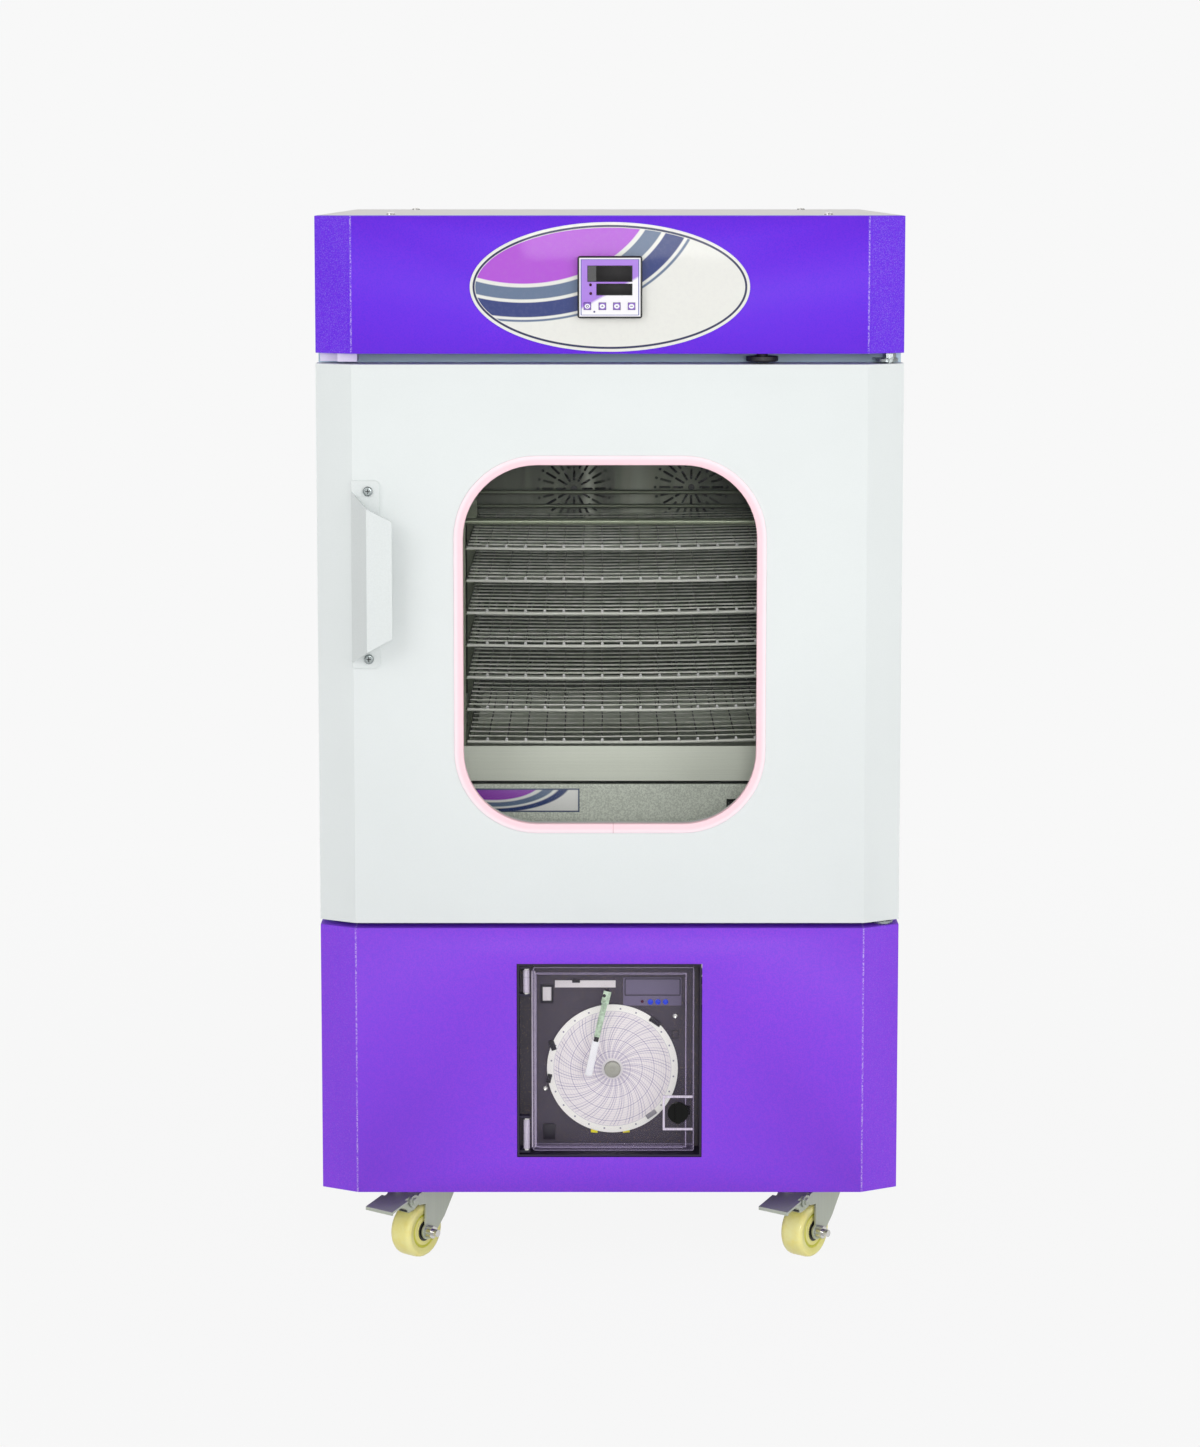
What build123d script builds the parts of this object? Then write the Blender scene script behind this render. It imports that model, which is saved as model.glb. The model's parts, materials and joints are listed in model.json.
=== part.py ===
from build123d import *
import math
import os

# Platelet agitator in an incubator cabinet on casters. Millimetres, +Z up, +X to the
# right of a person who faces the door, +Y to the rear. The origin is on the floor,
# under the centre of the whole cabinet.

# driving dimensions
width = 660.0             # over the side panels
front_y = -335.0          # flat face of the door and of both fascias
depth = 700.0             # from that face to the back panel's outside
skirt_z = 97.0            # bottom edge of the lower fascia and the side panels
lower_top_z = 405.0
door_bottom_z = 411.0
door_top_z = 1045.0
head_bottom_z = 1057.0
head_top_z = 1210.0
sheet = 1.5               # painted and stainless sheet
chamfer_width = 41.5      # slanted corner strips of the front, seen from the front
chamfer_depth = 22.0
roof_screw_x = 250.0
roof_screw_depths = (110.0, 650.0)
roof_screw_radius = 5.0
inlet_x0 = -250.0         # opening in the back panel for the mains inlet
inlet_x1 = -216.0
inlet_z0 = 146.0
inlet_z1 = 172.0
stop_x = 171.0            # round stop above the door's closing side
stop_depth = 26.0
fascia_depth = 68.0       # how far the purple returns reach back
gap = 0.3                 # between pieces of different bodies

door_depth = 50.0
seal_depth = 13.7
frame_depth = 64.0        # face that the door seal lands on
window_x = 0.2
window_z = 729.0
window_width = 330.0
window_height = 407.0
window_radius = 83.0
gasket_lip = 10.8
gasket_proud = 2.2
pane_thickness = 4.0
pane_depths = (8.0, 40.0)
hinge_x = 314.0
hinge_depth = 31.0
hinge_pin_radius = 5.0
bush_radius = 8.0
bush_length = 35.0

handle_x0 = -289.6
handle_x1 = -257.7
handle_lip_x0 = -271.0
handle_lip_x1 = -242.5
handle_z0 = 703.6
handle_z1 = 915.3
handle_stand = 32.0
handle_sheet = 3.0
handle_screw_x = -270.8
handle_screw_z = (713.8, 903.3)
screw_head_radius = 5.5

chamber_half = 262.0
chamber_floor_z = 455.0
chamber_top_z = 1003.0
chamber_depth = 640.0
duct_depth = 575.0
grille_centres = ((-44.4, 853.0), (106.6, 855.0))
grille_slots = 24

rack_x = 14.0             # middle of the rocking rack
rack_front = 140.0        # behind the front face
rack_length = 410.0
shelf_width = 360.0
shelf_count = 7
shelf_top_z = 823.8
shelf_pitch = 37.95
wire = 2.0
mesh_columns = 16
mesh_rows = 12
post = 13.0
ledge = 8.0               # how far a shelf rests on each side
rail_top_z = 854.0
tray_z = 549.3
tray_top_z = 590.8
tray_width = 400.0
base_top_z = 546.3
base_width = 428.0
stroke = 19.0
crank_depth = 345.0       # crank's axis, under the middle of the tray
slider_depths = (190.0, 500.0)
switch_x = 151.5
switch_z = 517.5

badge_width = 312.0
badge_height = 144.0
badge_z = 1131.3
controller_width = 72.0
controller_height = 69.0
key_x = (-25.0, -8.4, 7.7, 24.0)
key_z = 1110.3
key_size = 7.6
cutout_half = 34.0        # opening in the badge and the head for the controller
cutout_half_z = 32.5

recorder_x = -0.3
recorder_width = 211.0
recorder_z0 = 138.0
recorder_z1 = 363.5
face_depth = 40.0         # recorder's face behind the fascia
chart_x = 3.3
chart_z = 231.7
chart_radius = 75.4
cover_x0 = -87.5
cover_x1 = 96.5
cover_z0 = 144.0
cover_z1 = 358.5
cover_hinge_x = -95.0
cover_hinge_depth = 10.0
latch_x = 78.2
latch_z = 190.3
pen_x = -3.0
pen_z = 322.4
pen_tip_x = -24.2
pen_tip_z = 227.9

wheel_radius = 31.5
wheel_width = 29.0
tread_half = 7.5          # flat running band between the rounded shoulders
caster_x = (-209.0, 245.0)
caster_inset = 95.0
caster_height = 92.0
caster_trail = 28.0
caster_turn = -126.87     # every caster trails to the front left
axle_radius = 4.0
bolt_end = 33.0           # end of the axle's thread, beyond its nut
rivet_x = 52.0            # pedal's rivet, ahead of the kingpin
rivet_z = 73.0
pedal_tip_x = 94.5
leg_inner = 16.0          # inside faces of the fork's legs
leg_outer = 18.5
running = 0.06            # radial clearance of a running fit


def at(behind):
    """World Y of a place this far behind the front face."""
    return front_y + behind


def block(x0, x1, y0, y1, z0, z1):
    centre = ((x0 + x1) / 2, (y0 + y1) / 2, (z0 + z1) / 2)
    return Pos(*centre) * Box(abs(x1 - x0), abs(y1 - y0), abs(z1 - z0))


def rod(start, end, radius):
    a = Vector(*start)
    b = Vector(*end)
    return extrude(Plane(origin=a, z_dir=b - a) * Circle(radius), (b - a).length)


def tube(start, end, outer, inner):
    return rod(start, end, outer) - rod(start, end, inner)


def front_plate(shape, x, z, y0, y1):
    """A flat sketch stood up facing the front, from y0 back to y1."""
    plane = Plane(origin=(x, y0, z), x_dir=(1, 0, 0), z_dir=(0, 1, 0))
    return extrude(plane * shape, y1 - y0)


def front_outline(inset, back):
    """The cabinet's front corners in plan, drawn inset by a sheet's thickness."""
    slant = math.atan2(chamfer_depth, chamfer_width)
    half = width / 2 - inset
    side_y = chamfer_depth + inset * math.tan((math.pi / 2 - slant) / 2)
    fold_x = width / 2 - chamfer_width - inset * math.tan(slant / 2)
    points = [
        (-half, at(back)), (-half, at(side_y)), (-fold_x, at(inset)),
        (fold_x, at(inset)), (half, at(side_y)), (half, at(back)),
    ]
    return make_face(Polyline(*points, close=True))


def front_prism(inset, back, z0, z1):
    return extrude(Pos(0, 0, z0) * front_outline(inset, back), z1 - z0)


def front_shell(z0, z1, back):
    """Sheet cap with slanted corners, closed above and below, open to the rear."""
    outer = front_prism(0, back, z0, z1)
    inner = front_prism(sheet, back + 5, z0 + sheet, z1 - sheet)
    return outer - inner


# outer casing
def side_panels():
    x = width / 2
    y0 = at(fascia_depth + 0.1)
    y1 = at(depth)
    left = block(-x, -x + sheet, y0, y1, skirt_z, head_top_z - sheet - 0.1)
    right = block(x - sheet, x, y0, y1, skirt_z, head_top_z - sheet - 0.1)
    return [left, right]


def back_panel():
    half = width / 2 - sheet - 0.1
    y0 = at(depth - sheet)
    panel = block(-half, half, y0, at(depth), skirt_z, head_top_z - sheet - 0.1)
    for row in range(10):
        z = 180 + row * 17
        slot = front_plate(SlotOverall(190, 7), 60, z, y0 - 1, at(depth) + 1)
        panel -= slot
    return panel - block(inlet_x0, inlet_x1, y0 - 1, at(depth) + 1, inlet_z0, inlet_z1)


def roof_cover():
    x = width / 2
    top = block(-x, x, at(fascia_depth + 0.1), at(depth), head_top_z - sheet, head_top_z)
    for sx in (-roof_screw_x, roof_screw_x):
        for behind in roof_screw_depths:
            y = at(behind)
            top -= rod((sx, y, head_top_z - 5), (sx, y, head_top_z + 1), 2.1)
            top -= rod((sx, y, head_top_z - 1), (sx, y, head_top_z + 1), roof_screw_radius + 0.2)
    return top


def panel_screws():
    """Flush heads sunk in the roof and pan heads on the back."""
    screws = []
    for sx in (-roof_screw_x, roof_screw_x):
        for behind in roof_screw_depths:
            y = at(behind)
            head = rod((sx, y, head_top_z - 1), (sx, y, head_top_z - 0.1), roof_screw_radius)
            shank = rod((sx, y, head_top_z - 8), (sx, y, head_top_z - 0.5), 2)
            screws.append(head + shank)
    for sx in (-300, 300):
        for z in (130, 480, 830, 1180):
            head = rod((sx, at(depth), z), (sx, at(depth) + 2, z), 5)
            screws.append(fillet(head.edges().group_by(Axis.Y)[-1], 1.2))
    return screws


def head_fascia():
    shell = front_shell(head_bottom_z, head_top_z, fascia_depth)
    half = cutout_half
    return shell - block(-half, half, at(-1), at(5), badge_z - cutout_half_z, badge_z + cutout_half_z)


def lower_fascia():
    shell = front_shell(skirt_z, lower_top_z, fascia_depth)
    x0 = recorder_x - recorder_width / 2
    x1 = recorder_x + recorder_width / 2
    return shell - block(x0, x1, at(-1), at(10), recorder_z0, recorder_z1)


def badge_plate():
    plate = front_plate(Ellipse(badge_width / 2, badge_height / 2), 0, badge_z, at(-1.5), at(0))
    half = cutout_half
    return plate - block(-half, half, at(-2), at(1), badge_z - cutout_half_z, badge_z + cutout_half_z)


def hinge_brackets():
    """Upper and lower strap with its pin, washers and nut, fixed to the front frame."""
    y = at(hinge_depth)
    pieces = []
    for z0, z1, tip in ((1047.0, 1050.0, 1014.0), (lower_top_z + 0.6, lower_top_z + 3.6, 442.0)):
        strap = block(hinge_x - 16, hinge_x + 10, y, at(frame_depth), z0, z1)
        strap += rod((hinge_x - 3, y, z0), (hinge_x - 3, y, z1), 13)
        pin = rod((hinge_x, y, tip), (hinge_x, y, z0 + 1), hinge_pin_radius)
        pieces.append(strap + pin)
    washer = tube((hinge_x, y, 1050.1), (hinge_x, y, 1051.3), 9, 3)
    nut = extrude(Pos(hinge_x, y, 1051.4) * RegularPolygon(7.5, 6), 4.6)
    return pieces + [washer, nut]


def head_stops():
    """White spacer block at the handle side and a round stop with its screw."""
    spacer = block(-325, -283, at(14), at(44), 1047.5, head_bottom_z - 0.1)
    spacer = spacer - block(-340, -305, at(0), at(26), 1040, 1060)
    y = at(stop_depth)
    disc = rod((stop_x, y, 1047.2), (stop_x, y, 1053.0), 18)
    disc = fillet(disc.edges().group_by(Axis.Z)[0], 2)
    neck = rod((stop_x, y, 1053.1), (stop_x, y, head_bottom_z - 0.1), 6.5)
    return [spacer, disc, neck]


# chamber
def front_frame():
    half = width / 2
    plate = block(-half, half, at(frame_depth), at(fascia_depth), lower_top_z + 0.2, head_bottom_z - 0.2)
    c = chamber_half
    return plate - block(-c, c, at(60), at(70), chamber_floor_z, chamber_top_z)


def chamber_liner():
    c = chamber_half
    y0 = at(fascia_depth + 0.1)
    outer = block(-c - sheet, c + sheet, y0, at(chamber_depth + sheet),
                  chamber_floor_z - sheet, chamber_top_z + sheet)
    inner = block(-c, c, y0 - 1, at(chamber_depth), chamber_floor_z, chamber_top_z)
    return outer - inner


def insulation():
    half = width / 2 - sheet - 0.2
    c = chamber_half + sheet + 0.1
    y0 = at(fascia_depth + 0.1)
    outer = block(-half, half, y0, at(depth - sheet - 0.2), lower_top_z + 0.3, head_bottom_z - 0.3)
    inner = block(-c, c, y0 - 1, at(chamber_depth + sheet + 0.1),
                  chamber_floor_z - sheet - 0.1, chamber_top_z + sheet + 0.1)
    return outer - inner


def duct_panel():
    """Rear wall of the chamber with two round grilles of radial slots."""
    c = chamber_half - 0.2
    z_mid = (chamber_floor_z + chamber_top_z) / 2
    height = chamber_top_z - chamber_floor_z - 0.4
    face = Rectangle(2 * c, height)
    for x, z in grille_centres:
        centre = Pos(x, z_mid - z)
        face -= centre * Circle(4)
        face -= centre * PolarLocations(17, grille_slots // 2) * SlotOverall(14, 3)
        face -= centre * PolarLocations(34, grille_slots) * SlotOverall(15, 3.2)
        face -= centre * PolarLocations(46.5, grille_slots) * Circle(2)
    return front_plate(face, 0, z_mid, at(duct_depth), at(duct_depth + sheet))


def air_cooler():
    """Finned evaporator coil and the two fan motors behind the duct panel."""
    pieces = []
    fins = 30
    for i in range(fins):
        x = -203 + i * 14
        pieces.append(block(x, x + 1, at(592), at(632), 560, 760))
    fin_block = Part() + pieces
    for row in range(6):
        z = 580 + row * 32
        fin_block += rod((-214, at(612), z), (214, at(612), z), 5)
    for side in (-214, 214):
        fin_block += block(side - 1.5, side + 1.5, at(588), at(chamber_depth - 0.2), 556, 764)
    motors = []
    for x, z in grille_centres:
        can = rod((x, at(604), z), (x, at(chamber_depth - 0.2), z), 22)
        shaft = rod((x, at(585), z), (x, at(604), z), 3)
        motors.append(can + shaft)
    return [fin_block] + motors


def fan_rotor(centre):
    x, z = centre
    hub = tube((x, at(580), z), (x, at(600), z), 14, 3 + running)
    blades = 5
    blade_plane = Plane(origin=(x, at(590), z), x_dir=(1, 0, 0), z_dir=(0, 1, 0))
    for i in range(blades):
        blade = Box(34, 17, 1.6)
        blade = Pos(29, 0, 0) * Rot(35, 0, 0) * blade
        hub += blade_plane * Rot(0, 0, i * 360 / blades) * blade
    return hub


# machine space
def base_frame():
    """Welded tube frame with the deck that carries the compressor."""
    half = width / 2 - sheet - 0.1
    y0 = at(fascia_depth + 0.5)
    y1 = at(depth - sheet - 0.2)
    z0 = caster_height
    z1 = caster_height + 40
    frame = block(-half, half, y0, y0 + 105, z0, z1) + block(-half, half, y1 - 140, y1, z0, z1)
    frame += block(-half, -half + 40, y0, y1, z0, z1) + block(half - 40, half, y0, y1, z0, z1)
    wall = 2.5
    frame -= block(-half + wall, half - wall, y0 + wall, y0 + 105 - wall, z0 + wall, z1 - wall)
    frame -= block(-half + wall, half - wall, y1 - 140 + wall, y1 - wall, z0 + wall, z1 - wall)
    for side in (-1, 1):
        x0 = side * (half - wall)
        x1 = side * (half - 40 + wall)
        frame -= block(x0, x1, y0 + wall, y1 - wall, z0 + wall, z1 - wall)
    return frame + block(-half, half, y0, y1, z1, z1 + 2)


def compressor_unit():
    """Hermetic compressor on its feet, and the finned condenser with its tubes."""
    deck = caster_height + 42.1
    x = -130
    y = at(520)
    shell = rod((x, y, deck + 14), (x, y, deck + 150), 78)
    shell = fillet(shell.edges(), 34)
    foot = block(x - 95, x + 95, y - 60, y + 60, deck + 10, deck + 13.9)
    for sx in (-82, 82):
        for sy in (-48, 48):
            foot += rod((x + sx, y + sy, deck), (x + sx, y + sy, deck + 10), 10)
    terminal = block(x + 74, x + 100, y - 30, y + 30, deck + 50, deck + 110)
    coil = Part()
    for i in range(24):
        fin_x = 30 + i * 9
        coil += block(fin_x, fin_x + 1, at(610), at(660), deck, deck + 230)
    for row in range(6):
        z = deck + 20 + row * 38
        coil += rod((22, at(635), z), (246, at(635), z), 5)
    return [shell + terminal, foot, coil]


def power_inlet():
    """Mains inlet with three blades in a recess; its lead is a separate thing."""
    x0 = inlet_x0 + 0.5
    x1 = inlet_x1 - 0.5
    y1 = at(depth) + 1.8
    body = block(x0, x1, y1 - 26, y1, inlet_z0 + 0.5, inlet_z1 - 0.5)
    body += block(x0 - 8, x1 + 8, at(depth) + 0.1, y1, inlet_z0 - 3, inlet_z1 + 3)
    body -= block(x0 + 4, x1 - 4, y1 - 18, y1 + 1, inlet_z0 + 4.5, inlet_z1 - 4.5)
    for dx, dz in ((-7, -2), (7, -2), (0, 3)):
        cx = (x0 + x1) / 2 + dx
        cz = (inlet_z0 + inlet_z1) / 2 + dz
        body += block(cx - 1, cx + 1, y1 - 19, y1 - 7, cz - 2, cz + 2)
    return body


# head
def controller_case():
    half_w = controller_width / 2
    half_h = controller_height / 2
    bezel = block(-half_w, half_w, at(-9.5), at(-1.6), badge_z - half_h, badge_z + half_h)
    bezel = fillet(bezel.edges().filter_by(Axis.Y), 3)
    bezel = chamfer(bezel.faces().sort_by(Axis.Y)[0].edges(), 1)
    body_w = cutout_half - 1
    body_h = cutout_half_z - 1
    body = block(-body_w, body_w, at(-2), at(78), badge_z - body_h, badge_z + body_h)
    case = bezel + body
    case -= block(-25, 25, at(-10), at(-8.3), badge_z + 6, badge_z + 24)
    case -= block(-15, 25, at(-10), at(-8.3), badge_z - 9, badge_z + 4)
    for x in key_x:
        half = key_size / 2 + gap
        case -= block(x - half, x + half, at(-10), at(-3), key_z - half, key_z + half)
    return case


def controller_key(x):
    half = key_size / 2
    key = block(x - half, x + half, at(-10.4), at(-4.4), key_z - half, key_z + half)
    key = fillet(key.edges().filter_by(Axis.Y), 1)
    return fillet(key.faces().sort_by(Axis.Y)[0].edges(), 0.5)


# door
def window_shape(grow):
    return RectangleRounded(window_width + 2 * grow, window_height + 2 * grow, window_radius + grow)


def door_skin():
    skin = front_shell(door_bottom_z, door_top_z, door_depth)
    skin -= front_plate(window_shape(5), window_x, window_z, at(-1), at(10))
    y = at(hinge_depth)
    skin -= rod((hinge_x, y, door_bottom_z - 1), (hinge_x, y, door_top_z + 1), bush_radius)
    for z in handle_screw_z:
        skin -= rod((handle_screw_x, at(-1), z), (handle_screw_x, at(10), z), 2.6)
    return skin


def door_liner():
    """Foam-filled inner pan, with the two hinge bushes pressed into its corner."""
    core = front_prism(sheet + 0.1, door_depth, door_bottom_z + sheet + 0.1, door_top_z - sheet - 0.1)
    core -= front_plate(window_shape(7), window_x, window_z, at(-1), at(door_depth + 1))
    y = at(hinge_depth)
    bushes = []
    for z0, z1 in ((door_bottom_z, door_bottom_z + bush_length), (door_top_z - bush_length, door_top_z)):
        core -= rod((hinge_x, y, z0 - 1), (hinge_x, y, z1 + 1), bush_radius + 0.05)
        bushes.append(tube((hinge_x, y, z0), (hinge_x, y, z1), bush_radius - 0.1, hinge_pin_radius + running))
    for z in handle_screw_z:
        core -= rod((handle_screw_x, at(-1), z), (handle_screw_x, at(16), z), 2.6)
    return [core] + bushes


def window_panes():
    panes = []
    for behind in pane_depths:
        pane = front_plate(window_shape(6.5), window_x, window_z, at(behind), at(behind + pane_thickness))
        panes.append(pane)
    return panes


def window_gasket():
    """Soft lipped ring round the outer pane, and its pair on the door's inside."""
    front = window_shape(gasket_lip) - window_shape(0)
    lip = front_plate(front, window_x, window_z, at(-gasket_proud), at(-0.05))
    lip = fillet(lip.faces().sort_by(Axis.Y)[0].edges(), 1.4)
    web = front_plate(window_shape(4.7) - window_shape(0), window_x, window_z, at(-0.1), at(7.9))
    ring = window_shape(6.5) - window_shape(0)
    back_web = front_plate(ring, window_x, window_z, at(44.1), at(door_depth + 0.2))
    back_lip = front_plate(front, window_x, window_z, at(door_depth + 0.1), at(door_depth + 2.2))
    return [lip + web, back_web + back_lip]


def door_seal():
    z_mid = (door_bottom_z + door_top_z) / 2
    ring = RectangleRounded(616, 608, 12) - RectangleRounded(588, 580, 6)
    return front_plate(ring, 0, z_mid, at(door_depth + 0.1), at(door_depth + 0.1 + seal_depth - 0.1))


def door_handle():
    """Folded sheet pull: flange on the door, slanted web, lip parallel to the door."""
    t = handle_sheet
    y = front_y
    section = [
        (handle_x1, y), (handle_x0, y), (handle_x0, y - t), (handle_lip_x0, y - handle_stand),
        (handle_lip_x1, y - handle_stand), (handle_lip_x1, y - handle_stand + t),
        (handle_lip_x0 + 2, y - handle_stand + t), (handle_x0 + 3.4, y - t), (handle_x1, y - t),
    ]
    pull = extrude(Pos(0, 0, handle_z0) * make_face(Polyline(*section, close=True)), handle_z1 - handle_z0)
    plane = Plane(origin=(0, y - handle_stand - 1, 0), x_dir=(1, 0, 0), z_dir=(0, 1, 0))
    far = handle_stand + 1 - t
    for top in (True, False):
        if top:
            edge = [
                (-295, 911), (-289.6, 903.5), (-271, 886), (-242.5, 871.6), (-235, 868),
                (-235, 930), (-295, 930),
            ]
        else:
            edge = [
                (-295, 702), (-289.6, 709.5), (-271, 724.6), (-242.5, 740.4), (-235, 744),
                (-235, 690), (-295, 690),
            ]
        flat = [(x, -z) for x, z in edge]
        pull -= extrude(plane * make_face(Polyline(*flat, close=True)), far)
    for z in handle_screw_z:
        pull -= rod((handle_screw_x, y - t - 1, z), (handle_screw_x, y + 1, z), 2.6)
    corners = [e for e in pull.edges().filter_by(Axis.Y) if abs(e.center().X - handle_x1) < 0.1]
    return fillet(corners, 6)


def handle_screws():
    screws = []
    for z in handle_screw_z:
        y = front_y - handle_sheet
        head = rod((handle_screw_x, y - 3.6, z), (handle_screw_x, y, z), screw_head_radius)
        head = fillet(head.edges().group_by(Axis.Y)[0], 2)
        head += rod((handle_screw_x, y, z), (handle_screw_x, at(14), z), 2.5)
        cross = block(handle_screw_x - 2.6, handle_screw_x + 2.6, y - 4, y - 2.2, z - 0.5, z + 0.5)
        cross += block(handle_screw_x - 0.5, handle_screw_x + 0.5, y - 4, y - 2.2, z - 2.6, z + 2.6)
        screws.append(head - cross)
    return screws


# agitator
def shelf_z(index):
    return shelf_top_z - index * shelf_pitch


def agitator_base():
    """Steel cover with the drive inside and a round hole for the crank pin."""
    x0 = rack_x - base_width / 2
    x1 = rack_x + base_width / 2
    y0 = at(rack_front + 2)
    y1 = at(rack_front + rack_length)
    cover = block(x0, x1, y0, y1, chamber_floor_z + 0.2, base_top_z)
    cover = fillet(cover.edges().filter_by(Axis.X).group_by(Axis.Y)[0].sort_by(Axis.Z)[-1:], 3)
    cover -= block(x0 + sheet, x1 - sheet, y0 + sheet, y1 - sheet, chamber_floor_z - 1, base_top_z - sheet)
    y = at(crank_depth)
    cover -= rod((rack_x, y, base_top_z - 5), (rack_x, y, base_top_z + 1), stroke + 6)
    opening = block(switch_x - 14.1, switch_x + 14.1, y0 - 1, y0 + 5, switch_z - 10.1, switch_z + 10.1)
    return cover - opening


def agitator_drive():
    """Slide rails on the cover, and the gear motor under its top."""
    rails = []
    for behind in slider_depths:
        y = at(behind)
        rails.append(block(rack_x - 205, rack_x + 205, y - 10, y + 10, base_top_z + 0.05, tray_z - gap))
    y = at(crank_depth)
    motor = block(rack_x - 40, rack_x + 40, y - 35, y + 35, 500, 528)
    motor += rod((rack_x, y, chamber_floor_z + 0.3), (rack_x, y, 500), 28)
    motor += rod((rack_x, y, 528), (rack_x, y, 540), 5)
    return rails + [motor]


def crank_disc():
    y = at(crank_depth)
    disc = rod((rack_x, y, 530), (rack_x, y, 537), 27)
    disc += rod((rack_x, y, 537), (rack_x, y, 541.5), 12)
    disc -= rod((rack_x, y, 529), (rack_x, y, 540.2), 5 + running)
    return disc + rod((rack_x + stroke, y, 537), (rack_x + stroke, y, 548.4), 4)


def power_rocker():
    y0 = at(rack_front + 2)
    rocker = block(switch_x - 12.3, switch_x + 12.3, y0 - 4, y0 + 4, switch_z - 7.9, switch_z + 7.9)
    rocker = fillet(rocker.edges().filter_by(Axis.Z).group_by(Axis.Y)[0], 2)
    pivot = rod((switch_x, y0 + 3, switch_z - 9.7), (switch_x, y0 + 3, switch_z + 9.7), 1.5)
    return rocker + pivot


def rack_tray():
    x0 = rack_x - tray_width / 2
    x1 = rack_x + tray_width / 2
    y0 = at(rack_front)
    y1 = at(rack_front + rack_length)
    tray = block(x0, x1, y0, y1, tray_z, tray_top_z)
    tray -= block(x0 + sheet, x1 - sheet, y0 + sheet, y1 - sheet, tray_z + sheet, tray_top_z + 1)
    return tray


def rack_frame():
    """Four posts, a ledge each side under every shelf, and rods along the top."""
    inner = shelf_width / 2 + 2
    y0 = at(rack_front + 3)
    y1 = at(rack_front + rack_length - 3)
    foot = tray_z + sheet + 0.1
    bars = []
    for side in (-1, 1):
        xa = rack_x + side * inner
        xb = rack_x + side * (inner + post)
        for ya in (y0, y1 - post):
            bars.append(block(xa, xb, ya, ya + post, foot, rail_top_z + 6))
        for i in range(shelf_count):
            top = shelf_z(i) - wire / 2 - gap
            bars.append(block(xa - side * ledge, xa, y0 + 2, y1 - 2, top - sheet, top))
        x = rack_x + side * (inner + post / 2)
        bars.append(rod((x, y0 + post, rail_top_z), (x, y1 - post, rail_top_z), 3))
        hanger = block(xa, xa + side * 3, y1 - 53, y1 - post, rail_top_z - 10, rail_top_z + 5)
        bars.append(hanger)
    left = rack_x - inner
    right = rack_x + inner
    bars.append(rod((left, y0 + 6, rail_top_z), (right, y0 + 6, rail_top_z), 4))
    bars.append(rod((left, y1 - 50, rail_top_z + 2), (right, y1 - 50, rail_top_z + 2), 2.5))
    bars.append(rod((left, y1 - 6, rail_top_z - 20), (right, y1 - 6, rail_top_z - 20), 2.5))
    return bars


def wire_shelf():
    """Top shelf: flat wire mesh, its front rail and the cut ends that stand on it."""
    z = shelf_top_z
    length = rack_length - 8
    pitch_x = (shelf_width - wire) / mesh_columns
    pitch_y = (length - wire) / mesh_rows
    mesh = Rectangle(shelf_width, length)
    mesh -= GridLocations(pitch_x, pitch_y, mesh_columns, mesh_rows) * Rectangle(pitch_x - wire, pitch_y - wire)
    y_mid = at(rack_front + 4 + length / 2)
    net = extrude(Pos(rack_x, y_mid, z - wire / 2) * mesh, wire)
    y_front = at(rack_front + 1)
    x0 = rack_x - shelf_width / 2
    x1 = rack_x + shelf_width / 2
    rail = rod((x0, y_front, z), (x1, y_front, z), 2.2)
    joins = [block(x, x + wire, y_front, y_front + 4, z - 1, z + 1) for x in (x0, x1 - wire)]
    stubs = []
    for i in range(1, mesh_columns):
        x = x0 + wire / 2 + i * pitch_x
        stubs.append(block(x - 1, x + 1, y_front - 2, y_front + 4, z - 1, z + 2.9))
    return net + ([rail] + joins + stubs)


# chart recorder
def recorder_case():
    """Recorder's box with its dark face set back behind the fascia."""
    x0 = recorder_x - recorder_width / 2 + 0.5
    x1 = recorder_x + recorder_width / 2 - 0.5
    z0 = recorder_z0 + 0.5
    z1 = recorder_z1 - 0.5
    case = block(x0, x1, at(1.8), at(120), z0, z1)
    case -= block(x0 + 2, x1 - 2, at(1), at(face_depth), z0 + 2, z1 - 2)
    case -= block(x0 + 2, x1 - 2, at(face_depth + 3), at(121), z0 + 2, z1 - 2)
    case -= rod((chart_x, at(35), chart_z), (chart_x, at(50), chart_z), 3 + running)
    case -= rod((pen_x, at(35), pen_z), (pen_x, at(50), pen_z), 2 + running)
    y = at(cover_hinge_depth)
    posts = []
    for z in (cover_z0 + 38, cover_z1 - 34, cover_z0 - 2.3, cover_z1 - 2):
        end = block(x0 + 1, cover_hinge_x + 4, y - 4, y + 4, z, z + 2.8)
        posts.append(end - rod((cover_hinge_x, y, z - 1), (cover_hinge_x, y, z + 4), 1.9))
    return case + posts


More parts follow.
